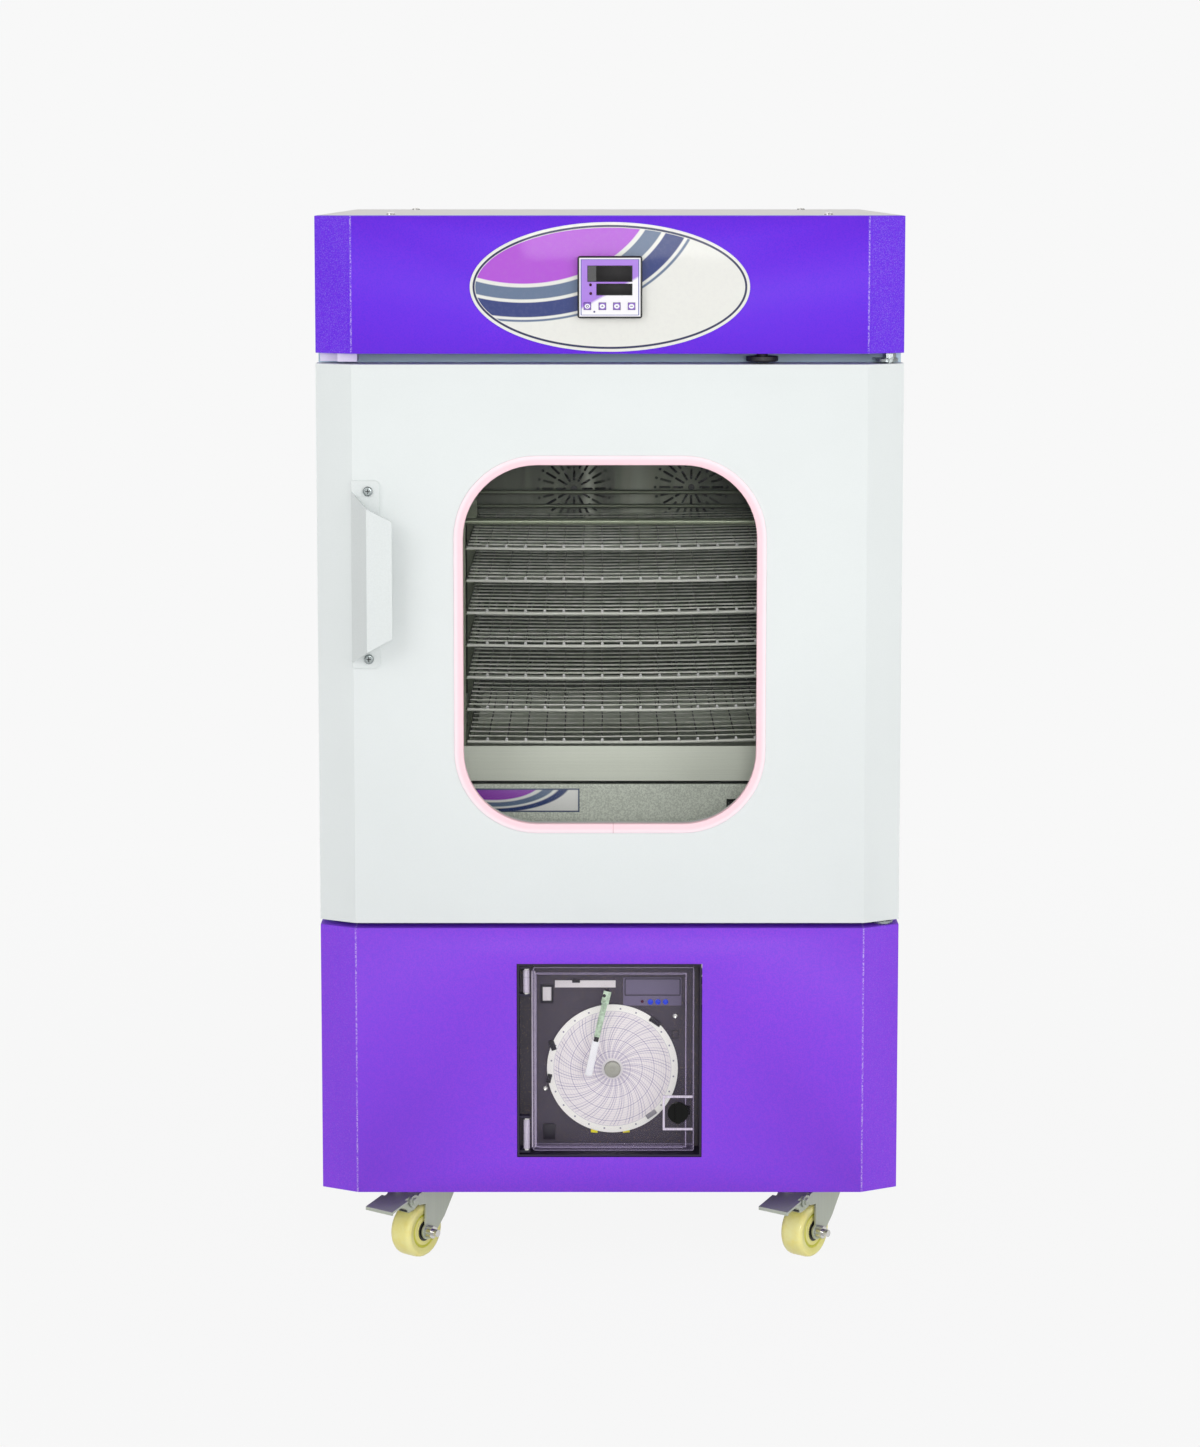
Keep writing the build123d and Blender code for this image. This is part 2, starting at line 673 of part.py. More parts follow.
def recorder_cover():
    """Clear lid with a raised middle and two hinge barrels."""
    z0 = cover_z0
    z1 = cover_z1
    lid = block(cover_x0, cover_x1, at(6), at(32), z0, z1)
    lid = fillet(lid.edges().filter_by(Axis.Y), 3)
    raised = block(cover_x0 + 3, cover_x1 - 9, at(3), at(7), z0 + 4, z1 - 7)
    raised = fillet(raised.edges().filter_by(Axis.Y), 6)
    lid += raised
    lid -= block(cover_x0 + 2.5, cover_x1 - 2.5, at(8.5), at(33), z0 + 2.5, z1 - 2.5)
    lid -= block(cover_x0 + 5.5, cover_x1 - 11.5, at(5.5), at(9), z0 + 6.5, z1 - 9.5)
    y = at(cover_hinge_depth)
    for za, zb in ((z0 + 1, z0 + 37.4), (z1 - 31, z1 - 2.5)):
        barrel = rod((cover_hinge_x, y, za), (cover_hinge_x, y, zb), 4)
        barrel += block(cover_hinge_x, cover_x0 + 1, y - 2, y + 2, za, zb)
        pin = rod((cover_hinge_x, y, za - 2.4), (cover_hinge_x, y, zb + 2.4), 1.8)
        lid += barrel + pin
    lid -= rod((latch_x, at(0), latch_z), (latch_x, at(12), latch_z), 5 + running)
    return lid


def recorder_latch():
    """Half-turn catch: a grip outside the lid, a tongue behind it."""
    grip = rod((latch_x, at(-4), latch_z), (latch_x, at(2.7), latch_z), 12)
    grip -= block(latch_x - 13, latch_x - 3, at(-5), at(-1), latch_z - 13, latch_z + 13)
    grip -= block(latch_x + 3, latch_x + 13, at(-5), at(-1), latch_z - 13, latch_z + 13)
    stem = rod((latch_x, at(2.7), latch_z), (latch_x, at(14), latch_z), 5)
    tongue = block(latch_x - 5, latch_x + 14, at(10), at(13), latch_z - 5, latch_z + 5)
    return grip + stem + tongue


def chart_disc():
    paper = rod((chart_x, at(38), chart_z), (chart_x, at(38.8), chart_z), chart_radius)
    hub = rod((chart_x, at(32), chart_z), (chart_x, at(38), chart_z), 9.5)
    hub = fillet(hub.edges().group_by(Axis.Y)[0], 1.5)
    spindle = rod((chart_x, at(38), chart_z), (chart_x, at(56), chart_z), 3)
    return paper + hub + spindle


def pen_arm():
    """Bar that swings from its pivot above the chart, with the pen at its tip."""
    run = math.hypot(pen_tip_x - pen_x, pen_tip_z - pen_z)
    lean = math.degrees(math.atan2(pen_tip_z - pen_z, pen_tip_x - pen_x))
    bar = Pos(run / 2, 0) * SlotOverall(run + 7, 7)
    plane = Plane(origin=(pen_x, at(27), pen_z), x_dir=(1, 0, 0), z_dir=(0, -1, 0))
    arm = extrude(plane * (Rot(0, 0, lean) * bar), 1.5)
    arm += extrude(plane * (Rot(0, 0, lean) * (Pos(run, 0) * Circle(3.5))), -7)
    arm += rod((pen_x, at(26), pen_z), (pen_x, at(54), pen_z), 2)
    return arm + rod((pen_x, at(26), pen_z), (pen_x, at(39.5), pen_z), 5)


# casters
def caster_place(x, y):
    return Pos(x, y, 0) * Rot(0, 0, caster_turn)


def caster_plates():
    """Four bolted top plates, each with its ball race and kingpin."""
    plates = []
    for x in caster_x:
        for behind in (caster_inset, depth - caster_inset):
            y = at(behind)
            plate = block(x - 42, x + 42, y - 32, y + 32, caster_height - 3.1, caster_height - 0.1)
            plate = fillet(plate.edges().filter_by(Axis.Z), 6)
            plate += rod((x, y, 84.9), (x, y, caster_height - 3), 20)
            plate += rod((x, y, 72), (x, y, 85), 5)
            plate += rod((x, y, 72.2), (x, y, 77.6), 8.5)
            for sx in (-33, 33):
                for sy in (-23, 23):
                    bolt = extrude(Pos(x + sx, y + sy, caster_height - 7) * RegularPolygon(6, 6), 4)
                    plate += bolt
            plates.append(plate)
    return plates


def side_profile(outline, y0, y1):
    """Plate between y0 and y1 with an outline of (x, z) points, seen from the side."""
    plane = Plane(origin=(0, y0, 0), x_dir=(1, 0, 0), z_dir=(0, -1, 0))
    return extrude(plane * make_face(Polyline(*outline, close=True)), y0 - y1)


def hexagon(x, z, y0, y1, radius):
    plane = Plane(origin=(x, y0, z), x_dir=(1, 0, 0), z_dir=(0, 1, 0))
    return extrude(plane * RegularPolygon(radius, 6), y1 - y0)


def caster_fork():
    """Pressed fork with its race cup, and the axle bolt, nut and brake rivet as own solids."""
    crown = rod((0, 0, 78), (0, 0, 84.6), 19) + rod((0, 0, 78), (0, 0, 81), 23)
    axle_x = caster_trail
    outline = [
        (-19.5, 81), (-19.5, 67), (-2, 43), (12, 30), (axle_x, 25), (axle_x + 7, 30),
        (axle_x + 4.5, 40), (axle_x + 3.7, 65.5), (44, 66.5), (rivet_x, rivet_z), (44, 80), (24, 84), (15, 81),
    ]
    fork = crown
    for y0, y1 in ((-leg_outer, -leg_inner), (leg_inner, leg_outer)):
        fork += side_profile(outline, y0, y1)
        fork += rod((axle_x, y0, wheel_radius), (axle_x, y1, wheel_radius), 9.5)
        fork += rod((rivet_x, y0, rivet_z), (rivet_x, y1, rivet_z), 7.5)
    fork += block(-19.5, 15, -leg_outer, leg_outer, 78, 81)
    fork += block(-19.5, -17, -leg_outer, leg_outer, 67, 79)
    fork -= rod((0, 0, 70), (0, 0, 90), 5 + running)
    fork -= rod((axle_x, -25, wheel_radius), (axle_x, 25, wheel_radius), axle_radius + 0.05)
    fork -= rod((rivet_x, -25, rivet_z), (rivet_x, 25, rivet_z), 2.65)
    bolt = rod((axle_x, -19, wheel_radius), (axle_x, bolt_end, wheel_radius), axle_radius)
    bolt += hexagon(axle_x, wheel_radius, -23, -leg_outer - 0.1, 7.5)
    nut = hexagon(axle_x, wheel_radius, leg_outer + 0.1, bolt_end - 6.5, 7.5)
    nut -= rod((axle_x, 0, wheel_radius), (axle_x, bolt_end, wheel_radius), axle_radius + 0.02)
    rivet = rod((rivet_x, -18.6, rivet_z), (rivet_x, 18.6, rivet_z), 2.6)
    rivet += rod((rivet_x, -20.5, rivet_z), (rivet_x, -18.55, rivet_z), 4.2)
    rivet += rod((rivet_x, 18.55, rivet_z), (rivet_x, 20.5, rivet_z), 4.2)
    return [fork, bolt, nut, rivet]


def caster_wheel():
    """Solid nylon wheel with a groove round each side and a raised bearing seat."""
    half = wheel_width / 2
    r = wheel_radius
    profile = [
        (axle_radius + running, -half - 0.9), (7, -half - 0.9), (7, -half + 0.7), (12.5, -half + 0.7),
        (12.5, -half + 1.5), (17, -half + 1.3), (18, -half + 2.8), (19.5, -half + 2.8),
        (20.5, -half + 1.2), (r - 5, -half), (r - 2.2, -half + 1.2), (r - 0.6, -11), (r, -tread_half),
    ]
    mirrored = [(a, -b) for a, b in reversed(profile)]
    face = make_face(Polyline(*profile, *mirrored, close=True))
    wheel = revolve(face, Axis.Y)
    return Pos(caster_trail, 0, r) * wheel


def brake_pedal():
    """Foot lever hung on the rivet, with an ear each side and the shoe between them."""
    tip = pedal_tip_x
    half = leg_inner - 0.8
    plate = [
        (tip, 66.5), (tip, 70.5), (58, 79.4), (38, 80.8), (38, 78.6), (57, 77.2),
        (tip - 2, 68.4), (tip - 2, 66.5),
    ]
    ear = [(42, 79), (44, 70), (50, 64), (58, 63), (66, 67), (74, 73), (60, 78)]
    lever = side_profile(plate, -half, half)
    wing = [(tip, 66.5), (tip, 70.5), (66, 77.3), (66, 75.1), (tip - 2, 68.4), (tip - 2, 66.5)]
    lever += side_profile(wing, -20, 20)
    for y0, y1 in ((-half, -half + 2), (half - 2, half)):
        lever += side_profile(ear, y0, y1)
    lever -= rod((rivet_x, -20, rivet_z), (rivet_x, 20, rivet_z), 2.6 + running)
    shoe = side_profile([(43, 69), (45, 61.5), (57, 59.5), (62, 66), (57, 69)], -half + 2.1, half - 2.1)
    shoe = shoe + side_profile([(56, 68), (62, 66), (62, 75.4), (56, 76.4)], -half + 2.1, half - 2.1)
    return [lever, shoe]


# writing
def write(name, solids):
    if not isinstance(solids, list):
        solids = [solids]
    found = []
    for piece in solids:
        found += piece.solids()
    shape = found[0] if len(found) == 1 else Compound(children=found)
    shape.label = name
    export_step(shape, f"parts/{name}.step")


def placed(solids, location):
    if not isinstance(solids, list):
        solids = [solids]
    return [location * piece for piece in solids]


def main():
    os.makedirs("parts", exist_ok=True)
    fixed = [
        side_panels, back_panel, roof_cover, panel_screws, head_fascia, lower_fascia, badge_plate,
        hinge_brackets, head_stops, front_frame, chamber_liner, insulation, duct_panel, air_cooler,
        base_frame, compressor_unit, power_inlet, controller_case, door_skin, door_liner,
        window_panes, window_gasket, door_seal, door_handle, handle_screws, agitator_base,
        agitator_drive, crank_disc, power_rocker, rack_tray, rack_frame, recorder_case,
        recorder_cover, recorder_latch, chart_disc, pen_arm, caster_plates,
    ]
    for piece in fixed:
        write(piece.__name__, piece())
    for side, centre in zip(("left", "right"), grille_centres):
        write(f"fan_rotor_{side}", fan_rotor(centre))
    for number, x in enumerate(key_x, 1):
        write(f"controller_key_{number}", controller_key(x))
    shelf = wire_shelf()
    for index in range(shelf_count):
        write(f"wire_shelf_{index + 1}", Pos(0, 0, -index * shelf_pitch) * shelf)
    fork = caster_fork()
    wheel = caster_wheel()
    for side, x in zip(("left", "right"), caster_x):
        for end, behind in (("front", caster_inset), ("rear", depth - caster_inset)):
            place = caster_place(x, at(behind))
            write(f"caster_fork_{end}_{side}", placed(fork, place))
            write(f"caster_wheel_{end}_{side}", placed(wheel, place))
            if end == "front":
                write(f"brake_pedal_{end}_{side}", placed(brake_pedal(), place))


main()
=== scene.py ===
import json
import math
import random

import bmesh
import bpy
from mathutils import Matrix, Vector

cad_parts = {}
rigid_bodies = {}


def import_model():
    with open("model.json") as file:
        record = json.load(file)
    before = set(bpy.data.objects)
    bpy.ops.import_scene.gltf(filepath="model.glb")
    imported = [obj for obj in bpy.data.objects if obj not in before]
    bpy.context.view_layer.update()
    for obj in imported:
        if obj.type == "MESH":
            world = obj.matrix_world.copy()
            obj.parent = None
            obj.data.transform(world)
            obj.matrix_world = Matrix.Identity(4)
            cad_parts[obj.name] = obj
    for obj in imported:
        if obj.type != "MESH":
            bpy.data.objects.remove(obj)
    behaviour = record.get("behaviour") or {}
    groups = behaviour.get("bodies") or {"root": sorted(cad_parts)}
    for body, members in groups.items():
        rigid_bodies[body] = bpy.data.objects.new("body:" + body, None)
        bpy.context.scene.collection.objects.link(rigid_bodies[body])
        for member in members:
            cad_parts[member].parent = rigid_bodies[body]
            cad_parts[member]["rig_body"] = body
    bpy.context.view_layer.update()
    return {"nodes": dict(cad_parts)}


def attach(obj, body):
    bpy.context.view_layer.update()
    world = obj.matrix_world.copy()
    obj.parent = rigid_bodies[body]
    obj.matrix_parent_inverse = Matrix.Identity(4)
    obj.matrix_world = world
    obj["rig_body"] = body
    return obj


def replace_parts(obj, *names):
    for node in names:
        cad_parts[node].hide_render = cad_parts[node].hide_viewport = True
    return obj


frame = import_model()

# metres: one millimetre, the cabinet's front face, and the fascias' fold lines left and right of the middle
mm = 0.001
frontY = -0.335
foldX = 0.2885
nodes = frame["nodes"]
print("frame loaded:", len(nodes), "nodes")


class Wire:
    # one shader socket that can be reckoned with
    def __init__(self, paint, socket):
        self.paint = paint
        self.socket = socket

    def reckon(self, operation, other=None, flipped=False):
        sockets = {0: self}
        if other is not None:
            sockets = {0: other, 1: self} if flipped else {0: self, 1: other}
        return self.paint.node("ShaderNodeMath", {"operation": operation}, sockets)

    def __add__(self, other):
        return self.reckon("ADD", other)

    def __sub__(self, other):
        return self.reckon("SUBTRACT", other)

    def __rsub__(self, other):
        return self.reckon("SUBTRACT", other, True)

    def __mul__(self, other):
        return self.reckon("MULTIPLY", other)

    def __truediv__(self, other):
        return self.reckon("DIVIDE", other)

    def __pow__(self, other):
        return self.reckon("POWER", other)

    def __abs__(self):
        return self.reckon("ABSOLUTE")

    def most(self, other):
        return self.reckon("MAXIMUM", other)

    def wrap(self, span):
        return self.paint.node("ShaderNodeMath", {"operation": "WRAP"}, {0: self, 1: span, 2: 0.0})

    def step(self, edge, soft):
        # 0 below edge, 1 above it, over a soft width
        return self.paint.node("ShaderNodeMapRange", {"clamp": True},
                               {"Value": self, "From Min": edge - soft, "From Max": edge + soft})

    def near(self, spot, reach, soft):
        # 1 within reach of the spot, 0 beyond it
        return 1 - abs(self - spot).step(reach, soft)

    def between(self, low, high, soft):
        # 1 from low to high, 0 outside
        return self.step(low, soft) * (1 - self.step(high, soft))


class Paint:
    # one material, built from a Principled shader
    def __init__(self, name, color=(1, 1, 1), rough=0.5, metal=0.0, **more):
        self.material = bpy.data.materials.new(name)
        self.material.use_nodes = True
        self.tree = self.material.node_tree
        self.shader = self.tree.nodes["Principled BSDF"]
        self.set("Base Color", (*color, 1.0))
        self.set("Roughness", rough)
        self.set("Metallic", metal)
        for key, value in more.items():
            self.set(key.replace("_", " "), value)

    def set(self, key, value):
        if isinstance(value, Wire):
            self.tree.links.new(value.socket, self.shader.inputs[key])
        else:
            self.shader.inputs[key].default_value = value

    def node(self, kind, settings=None, sockets=None, out=0):
        made = self.tree.nodes.new(kind)
        for key, value in (settings or {}).items():
            setattr(made, key, value)
        for key, value in (sockets or {}).items():
            if isinstance(value, Wire):
                self.tree.links.new(value.socket, made.inputs[key])
            else:
                made.inputs[key].default_value = value
        return Wire(self, made.outputs[out])

    def place(self):
        return self.node("ShaderNodeTexCoord", out="Object")

    def axes(self):
        split = self.node("ShaderNodeSeparateXYZ", sockets={0: self.place()})
        return [Wire(self, part) for part in split.socket.node.outputs]

    def stretch(self, scale):
        return self.node("ShaderNodeVectorMath", {"operation": "MULTIPLY"}, {0: self.place(), 1: scale})

    def noise(self, scale, detail=3.0, rough=0.55, point=None):
        return self.node("ShaderNodeTexNoise", None, {
            "Vector": point or self.place(), "Scale": scale, "Detail": detail, "Roughness": rough}, "Fac")

    def mix(self, factor, a, b):
        sockets = {0: factor, 6: whole(a), 7: whole(b)}
        return self.node("ShaderNodeMix", {"data_type": "RGBA"}, sockets, 2)

    def bump(self, height, strength, distance):
        normal = self.node("ShaderNodeBump", None, {
            "Strength": strength, "Distance": distance, "Height": height})
        self.set("Normal", normal)

    def finish(self, color, height, strength, distance):
        self.set("Base Color", color)
        self.bump(height, strength, distance)
        return self


def whole(color):
    if isinstance(color, Wire) or len(color) == 4:
        return color
    return (*color, 1.0)


def srgb(r, g, b):
    # a colour read as 0-255 values, as the renderer wants it
    def linear(v):
        v = v / 255
        return v / 12.92 if v <= 0.04045 else ((v + 0.055) / 1.055) ** 2.4
    return (linear(r), linear(g), linear(b))


def addObject(name, data):
    made = bpy.data.objects.new(name, data)
    bpy.context.scene.collection.objects.link(made)
    return made


def pieceFrom(name, build, paint, body):
    # build fills an empty bmesh, the result rides on a body
    mesh = bpy.data.meshes.new(name)
    work = bmesh.new()
    build(work)
    bmesh.ops.recalc_face_normals(work, faces=work.faces)
    work.to_mesh(mesh)
    work.free()
    piece = addObject(name, mesh)
    mesh.materials.append(paint.material)
    shadeSmooth(piece)
    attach(piece, body)
    return piece


def shadeSmooth(piece, angle=35):
    for face in piece.data.polygons:
        face.use_smooth = True
    sharp = math.radians(angle)
    work = bmesh.new()
    work.from_mesh(piece.data)
    for edge in work.edges:
        if len(edge.link_faces) == 2 and edge.calc_face_angle(0) > sharp:
            edge.smooth = False
    work.to_mesh(piece.data)
    work.free()


def breakEdges(work, corners, bevel):
    # small round on every edge between the corners, in millimetres
    if bevel:
        edges = {edge for corner in corners for edge in corner.link_edges}
        bmesh.ops.bevel(work, geom=list(edges), offset=bevel * mm, segments=2, affect="EDGES", profile=0.6)


def addBox(work, x0, x1, y0, y1, z0, z1, bevel=0.0):
    # all in millimetres
    middle = Vector(((x0 + x1) / 2, (y0 + y1) / 2, (z0 + z1) / 2)) * mm
    size = (abs(x1 - x0) * mm, abs(y1 - y0) * mm, abs(z1 - z0) * mm)
    made = bmesh.ops.create_cube(work, size=1, matrix=Matrix.Translation(middle) @ Matrix.Diagonal((*size, 1)))
    breakEdges(work, made["verts"], bevel)


def addRod(work, start, end, radius, sides):
    a = Vector(start) * mm
    b = Vector(end) * mm
    turn = (b - a).to_track_quat("Z", "Y").to_matrix().to_4x4()
    bmesh.ops.create_cone(work, cap_ends=True, segments=sides, radius1=radius * mm, radius2=radius * mm,
                          depth=(b - a).length, matrix=Matrix.Translation((a + b) / 2) @ turn)


def addTubeAlong(work, points, radius, sides=6):
    # a wire through points in millimetres, as rings joined by quads
    spots = [Vector(p) * mm for p in points]
    rings = []
    for i, spot in enumerate(spots):
        ahead = spots[min(i + 1, len(spots) - 1)] - spots[max(i - 1, 0)]
        turn = ahead.to_track_quat("Z", "Y")
        ring = []
        for k in range(sides):
            angle = 2 * math.pi * k / sides
            offset = Vector((math.cos(angle), math.sin(angle), 0)) * radius * mm
            ring.append(work.verts.new(spot + turn @ offset))
        rings.append(ring)
    for low, high in zip(rings, rings[1:]):
        for k in range(sides):
            after = (k + 1) % sides
            work.faces.new((low[k], low[after], high[after], high[k]))
    work.faces.new(rings[0][::-1])
    work.faces.new(rings[-1])


def addRing(work, center, profile, segments=48, axis="Y"):
    # a lathe profile of (radius, along) pairs in millimetres, closed if its ends meet
    middle = Vector(center) * mm
    rows = []
    for i in range(segments):
        angle = 2 * math.pi * i / segments
        row = []
        for radius, along in profile:
            a, b = radius * math.cos(angle), radius * math.sin(angle)
            spot = (a, along, b) if axis == "Y" else (a, b, along)
            row.append(work.verts.new(middle + Vector(spot) * mm))
        rows.append(row)
    for a, b in zip(rows, rows[1:] + rows[:1]):
        for k in range(len(profile) - 1):
            work.faces.new((a[k], a[k + 1], b[k + 1], b[k]))
    bmesh.ops.remove_doubles(work, verts=work.verts, dist=1e-7)


def softened(nodeName, paint, bevel, segments=2, angle=40):
    # the CAD shell with its edges broken, standing in for the node
    source = nodes[nodeName]
    mesh = source.data.copy()
    mesh.materials.clear()
    mesh.materials.append(paint.material)
    work = bmesh.new()
    work.from_mesh(mesh)
    bmesh.ops.remove_doubles(work, verts=work.verts, dist=2e-6)
    bmesh.ops.dissolve_limit(work, angle_limit=math.radians(1), verts=work.verts, edges=work.edges)
    work.to_mesh(mesh)
    work.free()
    piece = addObject(nodeName + "_finished", mesh)
    modifier = piece.modifiers.new("edges", "BEVEL")
    modifier.width = bevel * mm
    modifier.segments = segments
    modifier.limit_method = "ANGLE"
    modifier.angle_limit = math.radians(angle)
    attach(piece, source["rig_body"])
    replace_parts(piece, nodeName)
    shadeSmooth(piece, 30)


def coat(paint, *names):
    # the finish of CAD nodes that show as they are
    for name in names:
        mesh = nodes[name].data
        mesh.materials.clear()
        mesh.materials.append(paint.material)
        for face in mesh.polygons:
            face.material_index = 0


def setCamera():
    # millimetres and degrees, with the distance counted from the cabinet's front face
    view = {"x": -11.0, "back": 3800.0, "z": 1256.7, "pitch": 6.3, "lens": 84.8, "shift": -0.12}
    camera = addObject("photoCamera", bpy.data.cameras.new("photoCamera"))
    camera.location = (view["x"] * mm, frontY - view["back"] * mm, view["z"] * mm)
    camera.rotation_euler = (math.radians(90 - view["pitch"]), 0, 0)
    camera.data.lens = view["lens"]
    camera.data.shift_y = view["shift"]
    camera.data.clip_end = 60
    bpy.context.scene.camera = camera
    print("camera set")


def blendInto(tree, output, share, first, second):
    # two shaders mixed by a share, into the tree's output node
    blend = tree.nodes.new("ShaderNodeMixShader")
    for i, socket in enumerate((share, first, second)):
        tree.links.new(socket, blend.inputs[i])
    tree.links.new(blend.outputs[0], tree.nodes[output].inputs[0])


def setStage():
    stage = {"floorSize": 30.0, "color": srgb(248, 248, 248), "floorPaint": (0.86, 0.86, 0.86), "sky": 0.46,
             "nearGlow": 0.97, "plainFrom": 1.5, "plainSoft": 0.8}
    half = stage["floorSize"] / 2
    mesh = bpy.data.meshes.new("floor")
    mesh.from_pydata([(-half, -half, 0), (half, -half, 0), (half, half, 0), (-half, half, 0)], [], [(0, 1, 2, 3)])
    floor = addObject("floor", mesh)
    paint = Paint("floorPaint", stage["floorPaint"], 0.9)
    tree = paint.tree
    glow = tree.nodes.new("ShaderNodeEmission")
    glow.inputs["Color"].default_value = whole(stage["color"])
    rays = tree.nodes.new("ShaderNodeLightPath").outputs
    straight, through, mirrored = [Wire(paint, rays[f"Is {kind} Ray"]) for kind in ("Camera", "Transmission", "Glossy")]
    # near the object the floor keeps its shadow, further off it is plain
    x, y, z = paint.axes()
    far = ((x * x + y * y) ** 0.5).step(stage["plainFrom"], stage["plainSoft"])
    share = straight.most(through).most(mirrored) * (far * (1 - stage["nearGlow"]) + stage["nearGlow"])
    blendInto(tree, "Material Output", share.socket, paint.shader.outputs[0], glow.outputs[0])
    mesh.materials.append(paint.material)

    world = bpy.data.worlds.new("studio")
    bpy.context.scene.world = world
    world.use_nodes = True
    tree = world.node_tree
    lit = tree.nodes["Background"]
    seen = tree.nodes.new("ShaderNodeBackground")
    for background, color, strength in ((lit, (1, 1, 1), stage["sky"]), (seen, stage["color"], 1.0)):
        background.inputs["Color"].default_value = whole(color)
        background.inputs["Strength"].default_value = strength
    rays = tree.nodes.new("ShaderNodeLightPath").outputs
    either = tree.nodes.new("ShaderNodeMath")
    either.operation = "MAXIMUM"
    for i, kind in enumerate(("Camera", "Transmission")):
        tree.links.new(rays[f"Is {kind} Ray"], either.inputs[i])
    blendInto(tree, "World Output", either.outputs[0], lit.outputs[0], seen.outputs[0])
    print("stage set")


def setLights():
    # places and sizes in metres, strengths in watts
    lamps = {
        "front": {"at": (0.2, -4.7, 1.45), "size": 0.8, "watts": 40},
        "key": {"at": (-2.5, -3.4, 2.6), "size": 2.6, "watts": 43},
        "fill": {"at": (2.7, -3.2, 1.8), "size": 2.6, "watts": 40},
        "back": {"at": (0.0, 3.0, 3.2), "size": 3.0, "watts": 30},
    }
    aim = Vector((0, 0, 0.65))
    for name, lamp in lamps.items():
        data = bpy.data.lights.new(name, "AREA")
        data.shape = "SQUARE"
        data.size = lamp["size"]
        data.energy = lamp["watts"]
        placed = addObject(name, data)
        placed.location = lamp["at"]
        placed.rotation_euler = (aim - placed.location).to_track_quat("-Z", "Y").to_euler()
    print("lights set")


bpy.context.scene.view_settings.view_transform = "Standard"
setCamera()
setStage()
setLights()


def scaled(color, share):
    return tuple(c * share for c in color)


def powderCoat(name, color, rough=0.42, fleck=0.4, grain=None, sparkle=None):
    # painted sheet: fine grain, faint clouding, pale specks along the folds and, where sparkle is set, on the slanted
    # faces
    paint = Paint(name, Specular_IOR_Level=0.25)
    grain = grain or tuple(min(1.0, c * 1.12 + 0.01) for c in color)
    fine = paint.noise(620, 2, 0.7)
    cloud = paint.noise(5, 3)
    base = paint.mix(fine.step(0.5, 0.12) * fleck, color, grain)
    base = paint.mix(cloud.step(0.52, 0.2) * 0.35, base, scaled(color, 0.93))
    if sparkle is not None:
        x, y, z = paint.axes()
        line = abs(x).near(foldX, 0.0008, 0.0006)
        specks = paint.noise(700, 2, 0.8).step(0.52, 0.05)
        sparse = paint.noise(950, 1, 0.5).step(0.6, 0.06)
        slanted = abs(x).step(foldX + 0.002, 0.002)
        paleSpecks = (line * specks * 0.6).most(slanted * sparse * sparkle)
        base = paint.mix(paleSpecks, base, (0.80, 0.72, 0.95))
    paint.set("Roughness", cloud * 0.08 + (rough - 0.04))
    return paint.finish(base, fine, 0.06, 0.0004)


def brushed(name, color, rough=0.32, along="Z", metal=1.0, depth=0.12):
    # sheet or bar with fine lines along one axis
    paint = Paint(name, metal=metal)
    scale = {"X": (6, 900, 900), "Y": (900, 6, 900), "Z": (900, 900, 6)}[along]
    lines = paint.noise(1.0, 2, 0.6, paint.stretch(scale))
    cloud = paint.noise(9, 3)
    paint.set("Roughness", lines * 0.16 + (rough - 0.06))
    return paint.finish(paint.mix(lines * 0.5 + cloud * 0.3, color, scaled(color, 0.72)), lines, depth, 0.0003)


def moulded(name, color, rough=0.45, grain=0.10, scale=1400):
    # moulded plastic or rubber with a fine skin
    paint = Paint(name)
    skin = paint.noise(scale, 2, 0.6)
    cloud = paint.noise(14, 3)
    paint.set("Roughness", skin * 0.12 + (rough - 0.06))
    return paint.finish(paint.mix(cloud.step(0.5, 0.25) * 0.4, color, scaled(color, 0.86)), skin, grain, 0.0003)


headPaint = powderCoat("headPurple", srgb(98, 42, 228), 0.45, 0.55, srgb(128, 46, 232), sparkle=0.13)
lowerPaint = powderCoat("lowerPurple", srgb(124, 66, 226), 0.45, 0.6, srgb(160, 70, 230), sparkle=0.05)
doorPaint = powderCoat("doorWhite", srgb(227, 232, 231), 0.4, 0.3, srgb(232, 236, 235))
casingPaint = powderCoat("casingWhite", srgb(230, 228, 224), 0.45, 0.3)
pullPaint = powderCoat("pullWhite", srgb(221, 226, 225), 0.38, 0.3)
linerPlastic = moulded("doorInner", srgb(222, 228, 226), 0.4)
# the cabinet's white front behind the door gap, tinted blue as painted shade
blueShadedFramePaint = moulded("frameWhiteBlueShade", srgb(202, 228, 240), 0.55)
blackPlastic = moulded("blackPlastic", srgb(24, 24, 27), 0.4)
sealRubber = moulded("sealRubber", srgb(96, 112, 128), 0.7, 0.2)
foamPaint = moulded("insulationFoam", srgb(226, 214, 170), 0.9, 0.5, 500)
# the chamber liner painted near black as the shade deep inside the chamber
shadedLinerSteel = brushed("stainlessLiner", (0.055, 0.063, 0.048), 0.42, "X", 0.3)
trayMetal = brushed("trayMetal", (0.80, 0.84, 0.72), 0.5, "X", 0.1, 0.05)
railMetal = brushed("shelfRail", (0.74, 0.76, 0.68), 0.35, "X", 0.2, 0.05)
# the long wires are painted nearly black as the shade they lie in
shadedLongWires = brushed("longWire", (0.05, 0.055, 0.045), 0.35, "Y", 0.4, 0.05)
# the wire tips painted white as highlights
tipHighlightPaint = brushed("wireTipHighlight", (1.0, 1.0, 0.97), 0.3, "Y", 0.0, 0.03)
rodMetal = brushed("rackRod", (0.24, 0.27, 0.19), 0.3, "X", 0.5, 0.05)
zincPlate = brushed("zincPlate", (0.56, 0.60, 0.50), 0.38, "Z", 0.45, 0.12)
brightZinc = brushed("brightFastener", (0.72, 0.71, 0.69), 0.24, "Z", 1.0, 0.05)
darkZinc = brushed("darkFastener", (0.38, 0.42, 0.42), 0.25, "Z", 0.9, 0.05)
